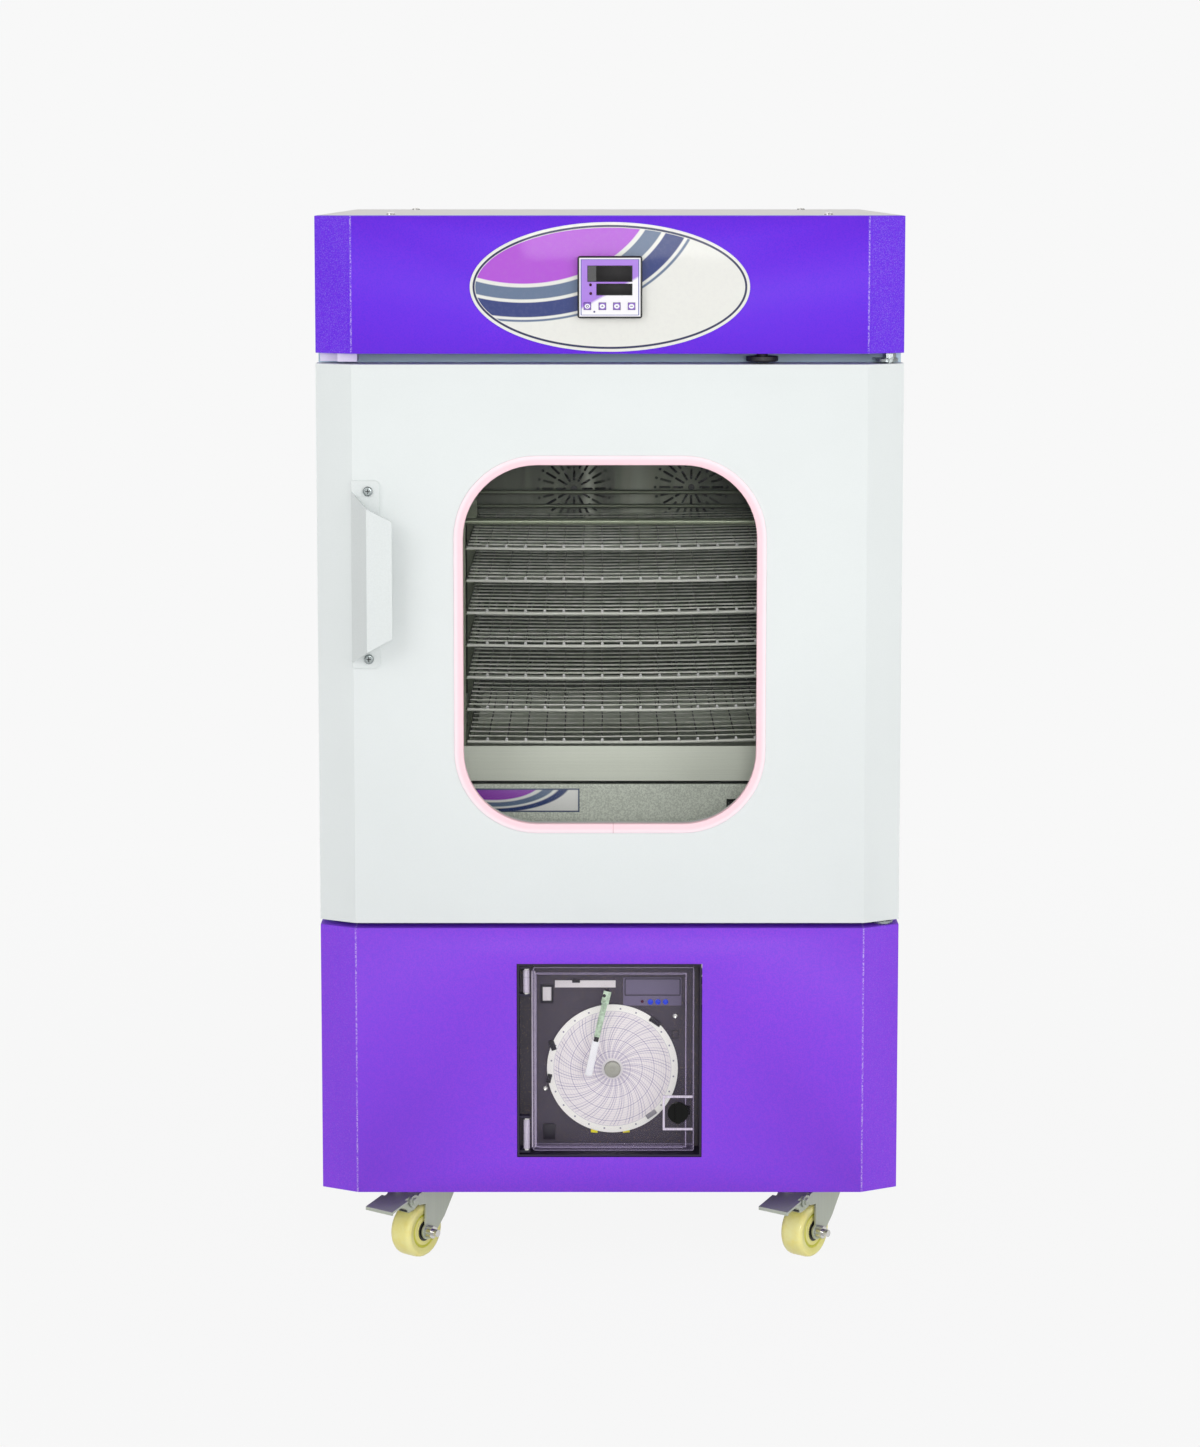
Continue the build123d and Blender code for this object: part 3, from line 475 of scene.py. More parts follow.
latchBlack = Paint("latchBlack", srgb(8, 9, 8), 0.4, Specular_IOR_Level=0.15)
latchBlack.bump(latchBlack.noise(1200, 2, 0.6), 0.15, 0.0003)
finMetal = brushed("finAluminium", (0.10, 0.10, 0.10), 0.5, "Z", 0.4)
framePaint = powderCoat("frameBlack", srgb(30, 30, 33), 0.5)
print("paints made")


def wirePaint():
    # plated cross wires, with painted shade darkening them towards the back of the shelf
    paint = Paint("crossWire", metal=0.15)
    x, y, z = paint.axes()
    worn = paint.noise(1.0, 2, 0.7, paint.stretch((60, 200, 200)))
    # painted shade, darker towards the back of the shelf
    paintedBackShade = y.step(0.0, 0.17)
    base = paint.mix(worn.step(0.5, 0.1), (0.74, 0.79, 0.66), (1.0, 1.0, 0.92))
    paint.set("Roughness", worn * 0.2 + 0.25)
    return paint.finish(paint.mix(paintedBackShade * 0.4, base, (0.3, 0.33, 0.27)), worn, 0.1, 0.0003)


def spacerPaint():
    # pale spacer block at the pull's side, black round stop on the other
    paint = Paint("headStops", rough=0.45)
    x, y, z = paint.axes()
    skin = paint.noise(900, 2, 0.6)
    base = paint.mix(x.step(0.0, 0.01), srgb(226, 218, 238), srgb(26, 24, 26))
    return paint.finish(paint.mix(skin.step(0.6, 0.1) * 0.1, base, srgb(150, 146, 160)), skin, 0.1, 0.0003)


def recorderPaint():
    # dark moulding with scattered brown flecks
    paint = Paint("recorderCharcoal")
    flecks = paint.noise(640, 2, 0.7)
    haze = paint.noise(40, 3, 0.6)
    base = paint.mix(haze.step(0.5, 0.2) * 0.5, srgb(58, 53, 64), srgb(70, 64, 78))
    base = paint.mix(flecks.step(0.62, 0.03) * 0.5, base, srgb(128, 110, 82))
    # the recess walls in front of the face take the purple of the paint beside them, darkened as painted shade
    x, y, z = paint.axes()
    base = paint.mix((1 - y.step(frontY + 0.037, 0.0006)) * 0.95, base, srgb(24, 13, 46))
    return paint.finish(base, paint.noise(1400, 2, 0.6), 0.1, 0.0003)


def speckledPaint():
    # hammered grey cover of the agitator
    paint = Paint("baseGrey")
    spots = paint.noise(520, 2, 0.7)
    x, y, z = paint.axes()
    base = paint.mix(spots.step(0.5, 0.1), srgb(190, 196, 183), srgb(222, 228, 214))
    return paint.finish(paint.mix(z.step(0.5452, 0.0006), base, srgb(30, 34, 28)), spots, 0.25, 0.0005)


# the window's opening, in millimetres, for its rubber and for the lips' shape
window = {"x": 0.2, "z": 729.0, "halfW": 165.0, "halfH": 203.5, "radius": 83.0, "steps": 14}


def gasketPaint():
    # pale pink rubber, lighter towards its outer edge
    paint = Paint("gasketPink", rough=0.55)
    x, y, z = paint.axes()
    qx = (abs(x - window["x"] * mm) - (window["halfW"] - window["radius"]) * mm).most(0.0)
    qz = (abs(z - window["z"] * mm) - (window["halfH"] - window["radius"]) * mm).most(0.0)
    away = (qx * qx + qz * qz) ** 0.5 - window["radius"] * mm
    edge = away.step(0.0066, 0.0016)
    skin = paint.noise(900, 2, 0.6)
    base = paint.mix(edge, srgb(255, 217, 225), srgb(252, 234, 240))
    # behind the front pane the reveal is the grey spacer of the double glazing
    base = paint.mix(y.step(frontY + 0.0125, 0.0005), base, srgb(214, 219, 206))
    joint = x.near(0.004, 0.0006, 0.0003) * (1 - z.step(0.55, 0.005))
    return paint.finish(paint.mix(joint * 0.5, base, srgb(214, 168, 176)), skin, 0.08, 0.0003)


def badgePaint():
    # white oval with a dark ring, ripples of colour spreading from its upper left
    badge = {"halfW": 0.156, "halfH": 0.072, "z": 1.1313}
    white = srgb(225, 225, 219)
    magenta = srgb(170, 66, 206)
    slate = srgb(88, 108, 138)
    navy = srgb(8, 40, 112)
    paint = Paint("badgeFace", rough=0.45, Coat_Weight=0.1)
    x, y, z = paint.axes()
    u = x / badge["halfW"]
    v = (z - badge["z"]) / badge["halfH"]
    # distance from the oval's edge, nearly even all round
    across = (u * u + v * v) ** 0.5
    slope = ((u / badge["halfW"]) ** 2 + (v / badge["halfH"]) ** 2) ** 0.5
    depth = (1 - across) * across / slope
    du = u + 0.62
    dv = (v - 1.55) * 0.62
    ripple = (du * du + dv * dv) ** 0.5
    face = paint.mix(ripple.step(0.93, 0.004), magenta, white)
    for start, stop, color in ((0.965, 1.08, slate), (1.11, 1.25, navy), (1.275, 1.295, slate)):
        face = paint.mix(ripple.between(start, stop, 0.004), face, color)
    blot = paint.noise(260, 2, 0.6)
    face = paint.mix(blot.step(0.55, 0.1) * 0.035, face, srgb(160, 150, 170))
    face = paint.mix(depth.step(0.0062, 0.0004), white, face)
    return paint.finish(paint.mix(depth.between(0.0032, 0.0056, 0.0002), face, srgb(10, 20, 74)),
                        paint.noise(1600, 2), 0.03, 0.0002)


def glassPaint():
    paint = Paint("windowGlass", srgb(222, 232, 226))
    smear = paint.noise(7, 3, 0.6)
    paint.set("Alpha", smear * 0.006 + 0.001)
    paint.set("Roughness", smear * 0.05 + 0.02)
    return paint


def clearLidPaint():
    # tinted clear plastic, with painted highlights as lighter, less clear lines where its step and rim turn
    lid = {"edges": ((-0.0845, 0.0875, 0.148, 0.3515), (-0.0875, 0.0965, 0.144, 0.3585)), "line": 0.0011}
    paint = Paint("clearLid", Specular_IOR_Level=0.25)
    x, y, z = paint.axes()
    smear = paint.noise(30, 3, 0.6)
    # painted highlights along the lid's step and rim
    edges = 0.0
    for x0, x1, z0, z1 in lid["edges"]:
        out = (abs(x - (x0 + x1) / 2) - (x1 - x0) / 2).most(abs(z - (z0 + z1) / 2) - (z1 - z0) / 2)
        edges = out.near(lid["line"] / -2, lid["line"] / 2, 0.0003).most(edges)
    paint.set("Base Color", paint.mix(edges, srgb(172, 150, 205), srgb(205, 190, 225)))
    paint.set("Alpha", (smear * 0.02 + 0.004).most(edges * 0.34))
    paint.set("Roughness", smear * 0.1 + 0.04)
    return paint


def chartPaint():
    # round paper chart: hour arcs bent like the pen's sweep, range circles, a plain rim with ticks
    chart = {"x": 0.0033, "z": 0.2317, "bend": 9.5, "inner": 0.0125, "outer": 0.067, "rim": 0.0676,
             "tickAt": 0.0709, "tick": 0.0009, "arcs": ((24, 0.0003, 0.8), (48, 0.00026, 0.6)),
             "circles": ((0.00275, 0.0002, 0.26), (0.01375, 0.0003, 0.62))}
    ink = srgb(104, 84, 150)
    paint = Paint("chartPaper", rough=0.8)
    x, y, z = paint.axes()
    dx = x - chart["x"]
    dz = z - chart["z"]
    radius = (dx * dx + dz * dz) ** 0.5
    angle = paint.node("ShaderNodeMath", {"operation": "ARCTAN2"}, {0: dz, 1: dx})
    bend = angle + radius * chart["bend"]
    turn = 2 * math.pi
    base = paint.mix(radius.step(0.0672, 0.0002), srgb(244, 238, 238), srgb(252, 250, 244))
    field = (1 - radius.step(chart["outer"], 0.0002)) * radius.step(chart["inner"], 0.0004)
    for count, width, strength in chart["arcs"]:
        saw = abs((bend + 10 * turn).wrap(turn / count) - turn / count / 2) * radius
        line = 1 - saw.step(width, 0.0003)
        base = paint.mix(line * field * strength, base, ink)
    for gap, width, strength in chart["circles"]:
        line = radius.wrap(gap).near(gap / 2, width, 0.0002)
        base = paint.mix(line * field * strength, base, ink)
    rim = radius.near(chart["rim"], 0.0002, 0.0001)
    ticks = 1 - (abs((angle + 10 * turn).wrap(turn / 24) - turn / 48) * radius).step(chart["tick"], 0.0003)
    ticks = ticks * radius.near(chart["tickAt"], chart["tick"], 0.0003)
    base = paint.mix(rim * 0.6, base, ink)
    base = paint.mix(ticks * 0.8, base, srgb(70, 60, 110))
    fibres = paint.noise(700, 3, 0.7)
    return paint.finish(paint.mix(fibres.step(0.55, 0.2) * 0.08, base, srgb(205, 196, 190)), fibres, 0.08, 0.0002)


def nylonPaint(name, hub):
    # cream nylon, greener in the groove round each side of the wheel
    paint = Paint(name, rough=0.38, Coat_Weight=0.15)
    x, y, z = paint.axes()
    # distance from the axle's line, which runs level and skewed under the cabinet
    dx, dy, dz = x - hub[0], y - hub[1], z - hub[2]
    along = dx * 0.8 - dy * 0.6
    ahead = dx * 0.6 + dy * 0.8
    radius = (ahead * ahead + dz * dz) ** 0.5
    groove = radius.near(0.0187, 0.0014, 0.0007) * abs(along).step(0.009, 0.001)
    sideFace = abs(along).step(0.0115, 0.001) * (1 - radius.step(0.0265, 0.002))
    cloud = paint.noise(60, 3, 0.6)
    scuffs = paint.noise(700, 2, 0.7)
    base = paint.mix(cloud.step(0.5, 0.2), srgb(255, 250, 172), srgb(252, 240, 140))
    base = paint.mix(sideFace * 0.45, base, srgb(226, 224, 130))
    base = paint.mix(groove, base, srgb(206, 206, 62))
    return paint.finish(paint.mix(scuffs.step(0.66, 0.05) * 0.15, base, srgb(206, 190, 130)), scuffs, 0.1, 0.0004)


def ductPaint():
    # rear panel of the chamber: mottled stainless painted dark as shade, with tall soft painted reflections
    paint = Paint("ductSteelPaintedLight", metal=0.35)
    x, y, z = paint.axes()
    tall = paint.noise(1.0, 3, 0.6, paint.stretch((22, 1, 3)))
    fine = paint.noise(1.0, 2, 0.6, paint.stretch((900, 900, 8)))
    # painted reflections: a bright streak and a wider faint band
    paintedReflection = x.near(-0.026, 0.003, 0.008) * 0.75
    second = x.near(0.036, 0.012, 0.014) * 0.25
    base = paint.mix(tall.step(0.5, 0.14), (0.09, 0.10, 0.078), (0.24, 0.26, 0.20))
    base = paint.mix(paintedReflection.most(second), base, (0.80, 0.84, 0.70))
    # painted shade, darker towards the corners and low down
    for shade in (abs(x - 0.01).step(0.15, 0.06), 1 - z.step(0.80, 0.02)):
        base = paint.mix(shade * 0.75, base, (0.035, 0.04, 0.03))
    paint.set("Roughness", tall * 0.2 + 0.3)
    return paint.finish(paint.mix(fine * 0.25, base, (0.06, 0.066, 0.05)), fine, 0.08, 0.0003)


basePaint = speckledPaint()
wireMetal = wirePaint()
spacerPlastic = spacerPaint()
recorderPlastic = recorderPaint()
gasketRubber = gasketPaint()
badgeFace = badgePaint()
glass = glassPaint()
clearLid = clearLidPaint()
chartPaper = chartPaint()
ductSteelPaintedLight = ductPaint()
print("special finishes made")


def coatNodes():
    coat(casingPaint, "side_panels", "back_panel")
    coat(blueShadedFramePaint, "front_frame")
    coat(spacerPlastic, "head_stops")
    coat(brightZinc, "panel_screws", "caster_plates")
    coat(darkZinc, "handle_screws", "hinge_brackets")
    coat(zincPlate, "agitator_drive", "crank_disc")
    coat(shadedLinerSteel, "chamber_liner")
    coat(ductSteelPaintedLight, "duct_panel")
    coat(finMetal, "air_cooler")
    coat(foamPaint, "insulation")
    coat(framePaint, "base_frame", "compressor_unit")
    coat(blackPlastic, "power_inlet", "fan_rotor_left", "fan_rotor_right")
    coat(linerPlastic, "door_liner")
    coat(glass, "window_panes")
    coat(sealRubber, "door_seal")
    coat(basePaint, "agitator_base")
    coat(rodMetal, "rack_frame")
    coat(recorderPlastic, "recorder_case")
    print("CAD nodes coated")


def behind(depth):
    # millimetres behind the cabinet's front face
    return frontY / mm + depth


def wavyPoints(start, end, parts, sway, chance):
    # points from start to end with a small seeded wander between them
    a = Vector(start)
    b = Vector(end)
    points = []
    for i in range(parts + 1):
        spot = a.lerp(b, i / parts)
        if 0 < i < parts:
            spot += Vector([chance.uniform(-sway, sway) for axis in range(3)])
        points.append(spot)
    return points


def makeShelves():
    # welded wire trays: round wires, a stouter front rail and the cut ends that stand on it
    shelf = {"count": 7, "top": 823.8, "pitch": 37.95, "left": -166.0, "right": 194.0, "front": 144.0,
             "length": 402.0, "columns": 16, "rows": 12, "wire": 0.9, "longWire": 0.85, "rail": 1.9, "tip": 1.7,
             "sway": 0.3, "rise": 2.4, "sag": 1.5}
    chance = random.Random(7)
    wide = shelf["right"] - shelf["left"]

    def bent(spot):
        # a shelf hangs a little in the middle and stands a little higher at its right end
        share = (spot.x - shelf["left"]) / wide
        lift = shelf["rise"] * share * share - shelf["sag"] * math.sin(math.pi * share)
        return Vector((spot.x, spot.y, spot.z + lift))

    def wireAlong(work, start, end, parts, radius, sides=6):
        points = wavyPoints(start, end, parts, shelf["sway"], chance)
        addTubeAlong(work, [bent(point) for point in points], radius, sides)

    for number in range(shelf["count"]):
        z = shelf["top"] - shelf["pitch"] * number
        yFront = behind(shelf["front"])
        yBack = yFront + shelf["length"]
        columns = [shelf["left"] + 1 + (wide - 2) * k / shelf["columns"] for k in range(shelf["columns"] + 1)]

        def crossWires(work):
            for row in range(1, shelf["rows"] + 1):
                y = yFront + 1 + (shelf["length"] - 2) * row / shelf["rows"]
                wireAlong(work, (shelf["left"] + 0.3, y, z + 0.5), (shelf["right"] - 0.3, y, z + 0.5),
                          9, shelf["wire"])

        def longWires(work):
            for x in columns:
                wireAlong(work, (x, yFront - 2, z - 0.9), (x, yBack, z - 0.9), 6, shelf["longWire"])

        def rail(work):
            wireAlong(work, (shelf["left"], yFront - 3, z), (shelf["right"], yFront - 3, z), 10, shelf["rail"], 10)

        def tips(work):
            # the rounded ends of the long wires, painted white as highlights
            for x in columns[1:-1]:
                points = [(x, yFront - 5.0, z + 1.6), (x, yFront - 5.2, z + 2.6), (x, yFront - 4.4, z + 3.4),
                          (x, yFront - 1.5, z + 3.2), (x, yFront + 2.5, z + 0.4)]
                addTubeAlong(work, [bent(Vector(point)) for point in points], shelf["tip"], 8)

        for name, build, paint in (("crossWires", crossWires, wireMetal), ("longWires", longWires, shadedLongWires),
                                   ("frontRail", rail, railMetal), ("wireTips", tips, tipHighlightPaint)):
            piece = pieceFrom(f"{name}_{number + 1}", build, paint, f"shelf_{number + 1}")
            if name == "crossWires":
                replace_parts(piece, f"wire_shelf_{number + 1}")
    print("wire shelves made")


def makeGasket():
    # rounded pink lip round the front pane, and a slimmer one on the door's inside
    front = ((0.3, 7.8), (0.0, 5.0), (0.0, -1.0), (0.5, -1.8), (1.6, -2.2), (9.0, -2.2), (10.3, -1.8), (10.8, -1.0),
             (10.8, -0.05), (4.7, -0.05), (4.7, 7.8))
    back = ((7.0, 50.1), (7.0, 51.4), (7.6, 52.1), (10.0, 52.2), (10.8, 51.4), (10.8, 50.1))

    def outline(grow, depth):
        points = []
        radius = window["radius"] + grow
        for turn, (sx, sz) in enumerate(((1, 1), (-1, 1), (-1, -1), (1, -1))):
            cx = window["x"] + sx * (window["halfW"] - window["radius"])
            cz = window["z"] + sz * (window["halfH"] - window["radius"])
            for step in range(window["steps"] + 1):
                angle = math.pi / 2 * (turn + step / window["steps"])
                points.append((cx + radius * math.cos(angle), behind(depth), cz + radius * math.sin(angle)))
        return points

    def rings(work):
        for profile in (front, back):
            loops = [[work.verts.new(Vector(p) * mm) for p in outline(*spot)] for spot in profile]
            for loop, after in zip(loops, loops[1:] + loops[:1]):
                for i in range(len(loop)):
                    j = (i + 1) % len(loop)
                    work.faces.new((loop[i], loop[j], after[j], after[i]))

    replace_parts(pieceFrom("windowLips", rings, gasketRubber, "door"), "window_gasket")
    print("window lips made")


# the label strip on the agitator's base, in millimetres
strip = {"left": -169.0, "right": -35.0, "low": 512.0, "high": 540.0, "depth": 142.0, "thick": 0.35}


def stickerPaint():
    # the same ripples as the badge
    white = srgb(240, 240, 236)
    paint = Paint("baseStrip", rough=0.4)
    x, y, z = paint.axes()
    u = (x - strip["left"] * mm) / ((strip["right"] - strip["left"]) * mm)
    v = (z - strip["low"] * mm) / ((strip["high"] - strip["low"]) * mm)
    du = u - 0.25
    dv = (v - 1.35) * 0.5
    ripple = (du * du + dv * dv) ** 0.5
    face = paint.mix(ripple.step(0.42, 0.01), srgb(150, 50, 190), white)
    for start, stop, color in ((0.47, 0.56, srgb(92, 113, 145)), (0.60, 0.68, srgb(24, 50, 112))):
        face = paint.mix(ripple.between(start, stop, 0.01), face, color)
    edge = (abs(u - 0.5).step(0.487, 0.004)).most(abs(v - 0.5).step(0.44, 0.02))
    return paint.finish(paint.mix(edge, face, srgb(60, 74, 110)), paint.noise(900, 2), 0.04, 0.0002)


def makeBaseStrip():
    def build(work):
        y = behind(strip["depth"])
        addBox(work, strip["left"], strip["right"], y - strip["thick"], y + 0.1, strip["low"], strip["high"], 0.12)

    pieceFrom("agitatorStrip", build, stickerPaint(), "cabinet")
    print("label strip made")


def controllerFacePaint():
    # printed face: black edge, white border, lilac frame line, purple field at the upper left
    face = {"z": 1.1313, "halfW": 0.036, "halfH": 0.0345}
    white = srgb(236, 234, 238)
    paint = Paint("controllerFace", rough=0.35)
    x, y, z = paint.axes()
    dz = z - face["z"]
    ax = abs(x)
    az = abs(dz)
    out = (ax - face["halfW"]).most(az - face["halfH"])
    field = 1 - (x * 0.55 + dz * -1.0).step(0.006, 0.0015)
    color = paint.mix(field, white, srgb(158, 108, 214))
    frameLine = (ax - 0.032).most(az - 0.031).near(0.0, 0.00055, 0.0002)
    color = paint.mix(frameLine, color, srgb(86, 92, 165))
    color = paint.mix(out.step(-0.0034, 0.0002), color, white)
    color = paint.mix(out.step(-0.0021, 0.0003), color, srgb(16, 16, 20))
    side = y.step(frontY - 0.0088, 0.0002)
    color = paint.mix(side, color, srgb(26, 26, 30))
    dot = ((x + 0.0173) ** 2 + (dz + 0.0272) ** 2) ** 0.5
    color = paint.mix(1 - dot.step(0.0011, 0.0002), color, srgb(70, 60, 120))
    skin = paint.noise(1800, 2, 0.6)
    return paint.finish(paint.mix(skin.step(0.6, 0.15) * 0.08, color, srgb(120, 116, 130)), skin, 0.05, 0.0002)


def keyPaint(x0, symbol):
    # violet key with a pale oval and a small mark
    face = {"z": 1.1103, "halfW": 0.0030, "halfH": 0.0026}
    violet = srgb(132, 92, 190)
    paint = Paint(f"keyFace_{symbol}", rough=0.4)
    x, y, z = paint.axes()
    u = (x - x0 * mm) / face["halfW"]
    v = (z - face["z"]) / face["halfH"]
    away = (u * u + v * v) ** 0.5
    color = paint.mix(1 - away.step(1.0, 0.06), violet, srgb(236, 234, 240))
    if symbol in ("up", "down"):
        way = 1.0 if symbol == "up" else -1.0
        head = (abs(u) * 1.3 + v * way - 0.42).most(v * -way - 0.2)
        mark = 1 - head.step(0.0, 0.06)
    elif symbol == "bar":
        mark = 1 - (abs(u) - 0.5).most(abs(v) - 0.16).step(0.0, 0.05)
    else:
        mark = away.near(0.42, 0.13, 0.05)
    return paint.finish(paint.mix(mark, color, srgb(60, 62, 110)), paint.noise(1500, 2), 0.06, 0.0002)


def darkGlass(name, color, rough=0.35):
    paint = Paint(name, Specular_IOR_Level=0.2)
    smear = paint.noise(160, 3, 0.6)
    paint.set("Base Color", paint.mix(smear.step(0.5, 0.2), color, tuple(c * 1.7 + 0.002 for c in color)))
    paint.set("Roughness", smear * 0.12 + rough)
    return paint


def makeController():
    # softened bezel, two dark displays, two unlit lamps and four marked keys
    unit = {"z": 1131.3, "front": -9.5, "displays": ((-15.5, 24.6, 6.2, 23.6), (-15.0, 24.6, -8.6, 3.8)),
            "lamps": ((-21.5, 2.7), (-21.3, -6.9)), "lampRadius": 1.9, "bezelEdge": 0.8, "keyEdge": 0.7,
            "keys": ((-25.0, "round"), (-8.4, "up"), (7.7, "down"), (24.0, "bar"))}
    y = behind(unit["front"])
    softened("controller_case", controllerFacePaint(), unit["bezelEdge"])

    def displays(work):
        for x0, x1, z0, z1 in unit["displays"]:
            addBox(work, x0 + 0.3, x1 - 0.3, y + 0.7, y + 2.0, unit["z"] + z0 + 0.3, unit["z"] + z1 - 0.3, 0.25)

    def lamps(work):
        profile = ((0.01, y - 0.7), (0.9, y - 0.55), (1.5, y - 0.2), (unit["lampRadius"], y + 0.3))
        for x, z in unit["lamps"]:
            addRing(work, (x, 0, unit["z"] + z), profile, 20)

    pieceFrom("controllerDisplays", displays, darkGlass("displayGlass", srgb(14, 12, 14)), "cabinet")
    pieceFrom("controllerLamps", lamps, darkGlass("lampLens", srgb(58, 22, 40), 0.2), "cabinet")
    for number, (x, symbol) in enumerate(unit["keys"]):
        softened(f"controller_key_{number + 1}", keyPaint(x, symbol), unit["keyEdge"])
    print("controller made")


# the recorder's face as measured in an enlarged view: millimetres at its upper left corner and for each step
enlarged = {"left": -112.7, "top": 363.912, "across": 1.13 / 7.465, "down": 1.16 / 7.465}


def recorderPoint(px, py):
    return enlarged["left"] + px * enlarged["across"], enlarged["top"] - py * enlarged["down"]


def addPlate(work, center, size, y0, y1, turn=0.0, bevel=0.0):
    # a small upright plate: centre and size in x and z, turned in its own plane, in millimetres
    made = bmesh.ops.create_cube(work, size=1)
    place = Matrix.Translation(Vector((center[0], (y0 + y1) / 2, center[1])) * mm)
    swing = Matrix.Rotation(math.radians(turn), 4, "Y")
    grow = Matrix.Diagonal((size[0] * mm, abs(y1 - y0) * mm, size[1] * mm, 1))
    bmesh.ops.transform(work, matrix=place @ swing @ grow, verts=made["verts"])
    breakEdges(work, made["verts"], bevel)


def makeRecorderFace():
    # printed panels, buttons, clips, black plates as painted shade, and screws on the recorder's dark face, placed in
    # the enlarged view
    face = {"depth": 40.0, "line": 7,
            "panel": [(1069, 271, 442, 217, 0)],
            "print": [(560, 213, 460, 55, 0), (270, 286, 72, 108, 0)],
            "boxes": [(862, 1280, 175, 297), (1220, 1266, 563, 623)],
            "frame": [(270, 226, 92, 18, 0), (270, 350, 92, 18, 0), (228, 286, 18, 142, 0), (312, 286, 18, 142, 0)],
            "buttons": [(1055, 348), (1112, 348), (1169, 348)], "button": 3.3,
            "lamp": [(993, 345)], "screws": [(1243, 453), (258, 1001)],
            # the last two clips are black plates painted as the shade in a recess at the lower left and in a notch at
            # the top
            "clipsAndShadePlates": [(1090, 497, 96, 34, 35), (312, 675, 40, 78, -20), (285, 925, 34, 70, 12),
                      (285, 1330, 90, 120, 0), (490, 190, 60, 22, 0)],
            "steelClip": [(1062, 1196, 86, 34, -35)],
            "marks": [(628, 1327, 52, 24, 4), (872, 1327, 52, 24, -4)]}
    y = behind(face["depth"])
    scale = enlarged["across"]
    clipBlack = moulded("recorderClipBlack", srgb(12, 11, 12), 0.4)

    def plates(spots, front, bevel=0.15, back=-0.2):
        def build(work):
            for px, py, wide, high, turn in spots:
                size = (wide * scale, high * scale)
                addPlate(work, recorderPoint(px, py), size, y - front, y - back, turn, bevel)
        return build

    def discs(spots, radius, rise):
        def build(work):
            for px, py in spots:
                x, z = recorderPoint(px, py)
                addRing(work, (x, 0, z), ((0.01, y - rise), (radius * 0.7, y - rise),
                                          (radius * 0.95, y - rise * 0.7), (radius, y + 0.1)), 24)
        return build

    def screwHeads(work):
        for px, py in face["screws"]:
            x, z = recorderPoint(px, py)
            addRing(work, (x, 0, z), ((0.01, y - 0.5), (1.1, y - 0.5), (1.1, y - 0.9), (2.4, y - 1.3), (3.0, y - 0.6),
                                      (3.05, y + 0.1)), 24)

    # the four sides of each bare outlined box
    sides = []
    for x0, x1, y0, y1 in face["boxes"]:
        sides += [((x0 + x1) / 2, y0, x1 - x0, face["line"], 0), ((x0 + x1) / 2, y1, x1 - x0, face["line"], 0),
                  (x0, (y0 + y1) / 2, face["line"], y1 - y0, 0), (x1, (y0 + y1) / 2, face["line"], y1 - y0, 0)]
    for name, build, paint in (
            ("Panel", plates(face["panel"], 0.5, 0.3), moulded("recorderPanelGrey", srgb(112, 104, 130), 0.5)),
            ("Print", plates(face["print"], 0.4), moulded("recorderPrintWhite", srgb(238, 232, 234), 0.5)),
            ("Lines", plates(sides, 0.72, 0.0, 0.3), clipBlack),
            ("Frame", plates(face["frame"], 1.3, 0.2), clipBlack),
            ("Buttons", discs(face["buttons"], face["button"], 1.8),
             moulded("recorderButtonBlue", srgb(14, 62, 224), 0.35)),
            ("Lamp", discs(face["lamp"], 1.8, 1.3), darkGlass("recorderLampLens", srgb(70, 30, 48), 0.2)),
            ("Screws", screwHeads, brightZinc),
            ("Clips", plates(face["clipsAndShadePlates"], 3.0, 0.5), clipBlack),
            ("MetalClip", plates(face["steelClip"], 4.2, 0.6),
             brushed("recorderClipSteel", (0.30, 0.29, 0.31), 0.35, "X", 0.4)),
            ("Marks", plates(face["marks"], 1.6, 0.3), moulded("recorderMarkYellow", srgb(240, 228, 30), 0.5))):
        pieceFrom("recorder" + name, build, paint, "cabinet")
    print("recorder face made")


def makeChart():
    # paper disc under a turned metal hub with its pale washer
    chart = {"x": 3.3, "z": 231.7, "radius": 75.4, "depth": 38.0, "hub": 9.5, "washer": 12.2}
    y = behind(chart["depth"])
    middle = (chart["x"], 0, chart["z"])
    edge, hub, washer = chart["radius"], chart["hub"], chart["washer"]
    paperSteps = ((0.01, y), (edge - 0.1, y), (edge, y + 0.1), (edge, y + 0.7), (0.01, y + 0.8))
    hubSteps = ((0.01, y - 5.2), (2.2, y - 5.2), (2.4, y - 5.6), (7.8, y - 5.9), (8.9, y - 5.4), (9.3, y - 4.6),
                (hub, y - 0.6), (hub, y + 0.05))
    washerSteps = ((hub - 0.2, y - 0.9), (washer - 0.3, y - 0.9), (washer, y - 0.6), (washer, y + 0.05))
    paper = pieceFrom("chartPaperDisc", lambda work: addRing(work, middle, paperSteps, 96), chartPaper, "chart")
    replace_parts(paper, "chart_disc")
    pieceFrom("chartHub", lambda work: addRing(work, middle, hubSteps, 48),
              brushed("chartHubMetal", (0.44, 0.44, 0.38), 0.5, "X", 0.6), "chart")
    pieceFrom("chartWasher", lambda work: addRing(work, middle, washerSteps, 48),
              moulded("chartWasherWhite", srgb(232, 228, 230), 0.4), "chart")
    print("chart made")


